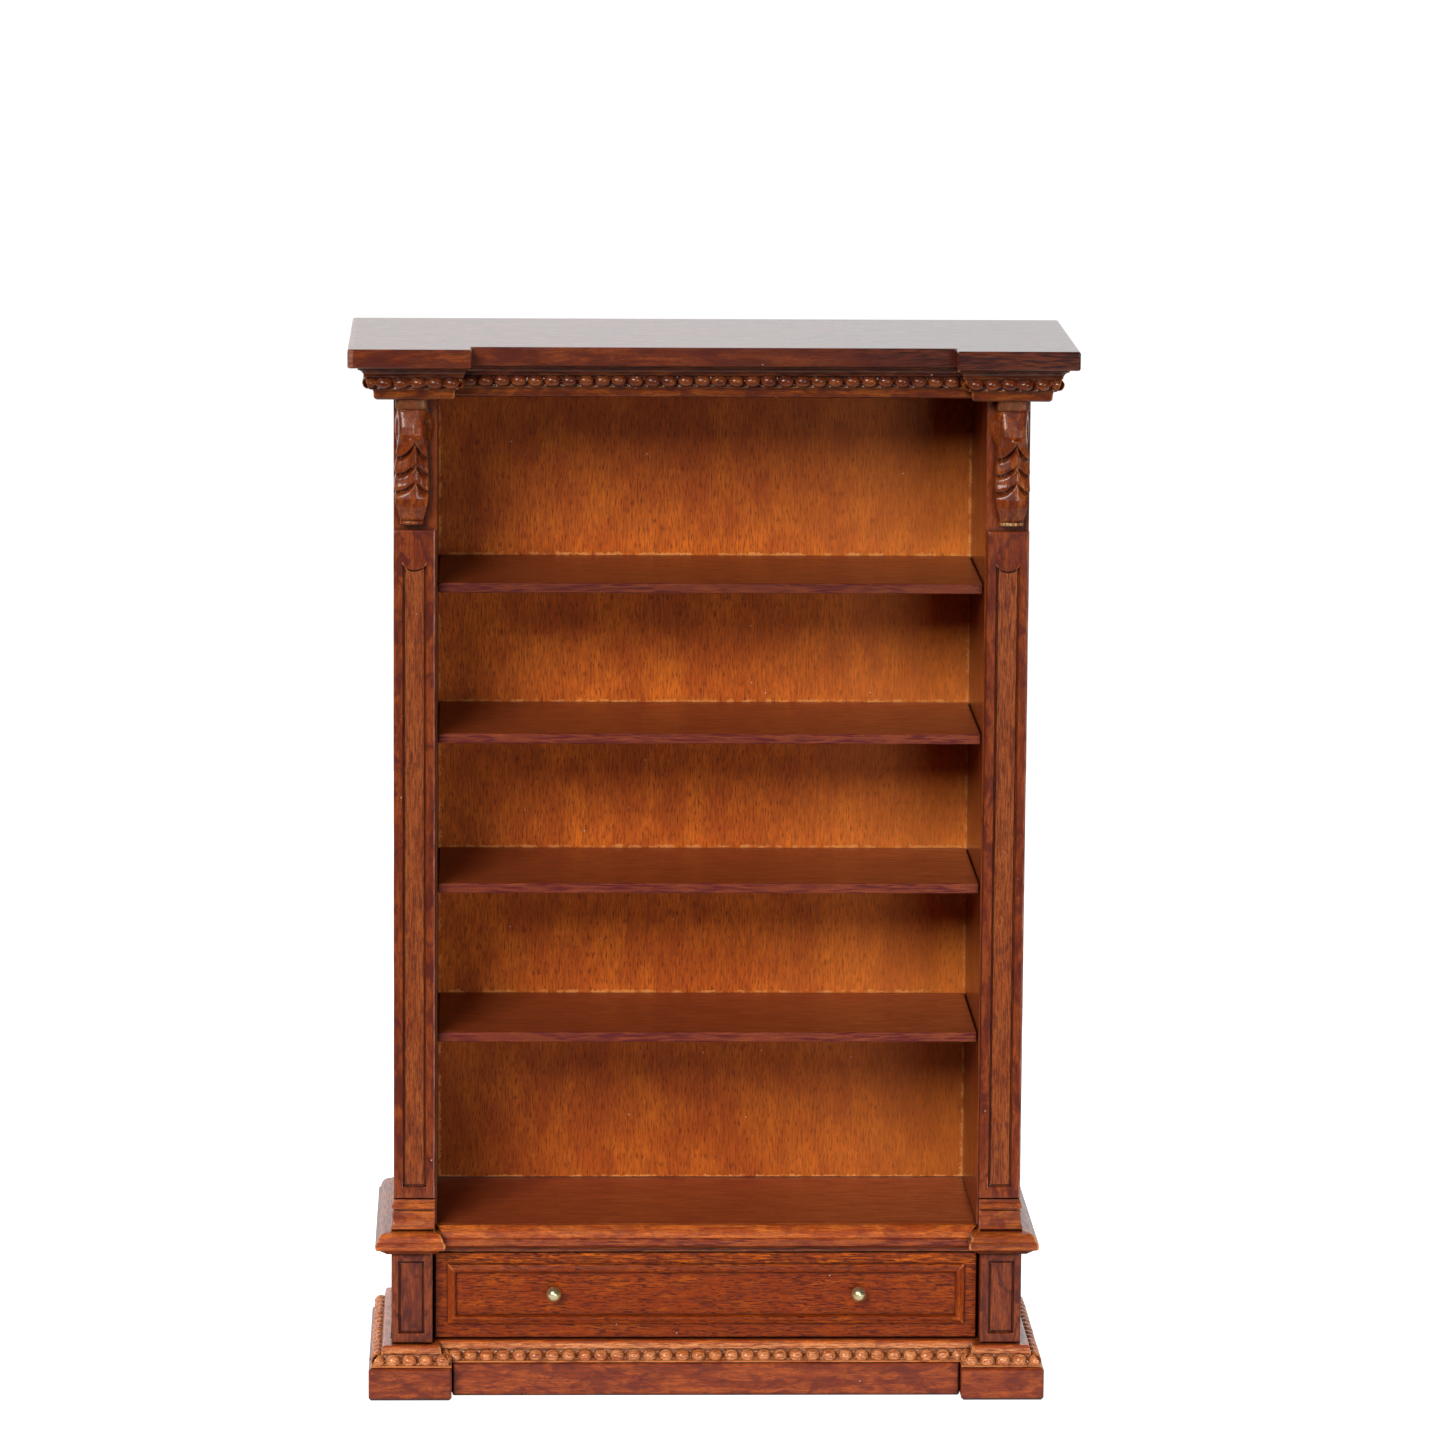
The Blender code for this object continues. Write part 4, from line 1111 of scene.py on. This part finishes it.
def finish_board(name, material, round_off):
    """Gives a CAD board its wood and takes the sharpness off its arrises."""
    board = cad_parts[name]
    board.data.materials.clear()
    board.data.materials.append(material)
    dress(board, name)
    if round_off:
        join = board.modifiers.new("join", "WELD")
        join.merge_threshold = JOIN_REACH
        soften = board.modifiers.new("soften", "BEVEL")
        soften.width = round_off * MM
        soften.segments = 3
        soften.limit_method = "ANGLE"
        soften.angle_limit = math.radians(ARRIS_ANGLE)


def finish_boards():
    single = {"top_board": polished_x, "plinth_centre": russet_x, "drawer_front": amber_x}
    for name, material in single.items():
        finish_board(name, material, 0.12)
    for _, word in SIDES:
        finish_board("upper_side_" + word, side_z, 0.08)
        finish_board("lower_side_" + word, side_z, 0.08)
        finish_board("plinth_block_" + word, russet_x, 0.2)
        finish_board("plinth_side_" + word, russet_y, 0.12)
        finish_board("drawer_side_" + word, plain_y, 0.08)
    for name in ("shelf_1", "shelf_2", "shelf_3", "shelf_4", "case_floor"):
        finish_board(name, shelf_x, 0.1)
    finish_board("deck_shelf", shelf_x, 0)
    finish_board("upper_back", sheet_z, 0)
    finish_board("lower_back", sheet_z, 0)
    finish_board("drawer_back", plain_x, 0.08)
    finish_board("drawer_bottom", plain_x, 0)


# Studio --------------------------------------------------------------------------------


# The studio is in metres
FLOOR_HALF = 0.6
FLOOR_FRONT = -0.16
MIDDLE_OF_CASE = (0.0, 0.0, 0.09)
WHITE = (1.0, 1.0, 1.0, 1.0)
GREY = (0.4, 0.4, 0.4, 1.0)
# Strength of the surround from in front to behind, and of the backdrop that is looked at
SURROUND = {"From Min": -0.1, "From Max": 0.4, "To Min": 0.01, "To Max": 1.05}
BACKDROP = 1.05
CAMERA_PLACE = (-0.03744, -1.19833, 0.31499)
CAMERA_TURN = (-1.91, 80.467, 0.421)
CAMERA_LENS = 177.96


def add_floor():
    """White floor, lit a little from within so that it stays pale."""
    mesh = bpy.data.meshes.new("floor")
    corners = [
        (-FLOOR_HALF, FLOOR_FRONT, 0),
        (FLOOR_HALF, FLOOR_FRONT, 0),
        (FLOOR_HALF, FLOOR_HALF, 0),
        (-FLOOR_HALF, FLOOR_HALF, 0),
    ]
    mesh.from_pydata(corners, [], [(0, 1, 2, 3)])
    floor = bpy.data.objects.new("floor", mesh)
    bpy.context.scene.collection.objects.link(floor)
    graph = Graph("floor_white")
    graph.shader.inputs["Base Color"].default_value = GREY
    graph.shader.inputs["Roughness"].default_value = 0.9
    graph.shader.inputs["Specular IOR Level"].default_value = 0.0
    graph.shader.inputs["Emission Color"].default_value = WHITE
    seen = graph.node("LightPath").outputs["Is Camera Ray"]
    glow = graph.scaled(seen, by=0.7, plus=0.4)
    graph.feed(graph.shader.inputs["Emission Strength"], glow)
    mesh.materials.append(graph.material)


def add_light(name, towards, distance, size, watts, colour):
    """Soft light of a width and height, placed in a direction from the case and aimed at its middle."""
    aim = Vector(MIDDLE_OF_CASE)
    data = bpy.data.lights.new(name, "AREA")
    data.shape = "RECTANGLE"
    data.size, data.size_y = size
    data.energy = watts
    data.color = colour
    light = bpy.data.objects.new(name, data)
    bpy.context.scene.collection.objects.link(light)
    light.location = aim + Vector(towards).normalized() * distance
    light.rotation_euler = (aim - light.location).to_track_quat("-Z", "Y").to_euler()


def add_world():
    """Surround that is white behind the case and nearly dark behind the camera, on a white backdrop."""
    world = bpy.data.worlds.new("studio")
    world.use_nodes = True
    bpy.context.scene.world = world
    nodes, links = world.node_tree.nodes, world.node_tree.links
    direction = nodes.new("ShaderNodeTexCoord")
    split = nodes.new("ShaderNodeSeparateXYZ")
    links.new(direction.outputs["Generated"], split.inputs[0])
    fade = nodes.new("ShaderNodeMapRange")
    fade.interpolation_type = "SMOOTHSTEP"
    for socket, value in SURROUND.items():
        fade.inputs[socket].default_value = value
    links.new(split.outputs["Y"], fade.inputs["Value"])
    path = nodes.new("ShaderNodeLightPath")
    pick = nodes.new("ShaderNodeMix")
    pick.inputs[3].default_value = BACKDROP
    links.new(path.outputs["Is Camera Ray"], pick.inputs[0])
    links.new(fade.outputs[0], pick.inputs[2])
    links.new(pick.outputs[0], nodes["Background"].inputs["Strength"])
    nodes["Background"].inputs["Color"].default_value = WHITE


def add_camera():
    data = bpy.data.cameras.new("camera")
    data.sensor_width = 36.0
    data.lens = CAMERA_LENS
    data.clip_start = 0.05
    camera = bpy.data.objects.new("camera", data)
    bpy.context.scene.collection.objects.link(camera)
    yaw, pitch, spin = (math.radians(angle) for angle in CAMERA_TURN)
    turn = Matrix.Rotation(yaw, 4, "Z") @ Matrix.Rotation(pitch, 4, "X") @ Matrix.Rotation(spin, 4, "Z")
    camera.matrix_world = Matrix.Translation(CAMERA_PLACE) @ turn
    bpy.context.scene.camera = camera


finish_boards()
add_cornice()
add_brackets()
add_pilasters()
add_pilaster_feet()
add_waist()
add_base_moulding()
add_drawer_frame()
add_knobs()
add_floor()
add_light(
    "key",
    towards=(-0.42, -1.0, 0.53),
    distance=3.0,
    size=(1.2, 1.0),
    watts=74.0,
    colour=(1.0, 0.97, 0.93),
)
add_light(
    "fill",
    towards=(0.36, -1.0, 0.06),
    distance=1.8,
    size=(0.55, 0.4),
    watts=6.6,
    colour=(1.0, 0.96, 0.92),
)
add_world()
add_camera()
bpy.context.scene.view_settings.view_transform = "Standard"
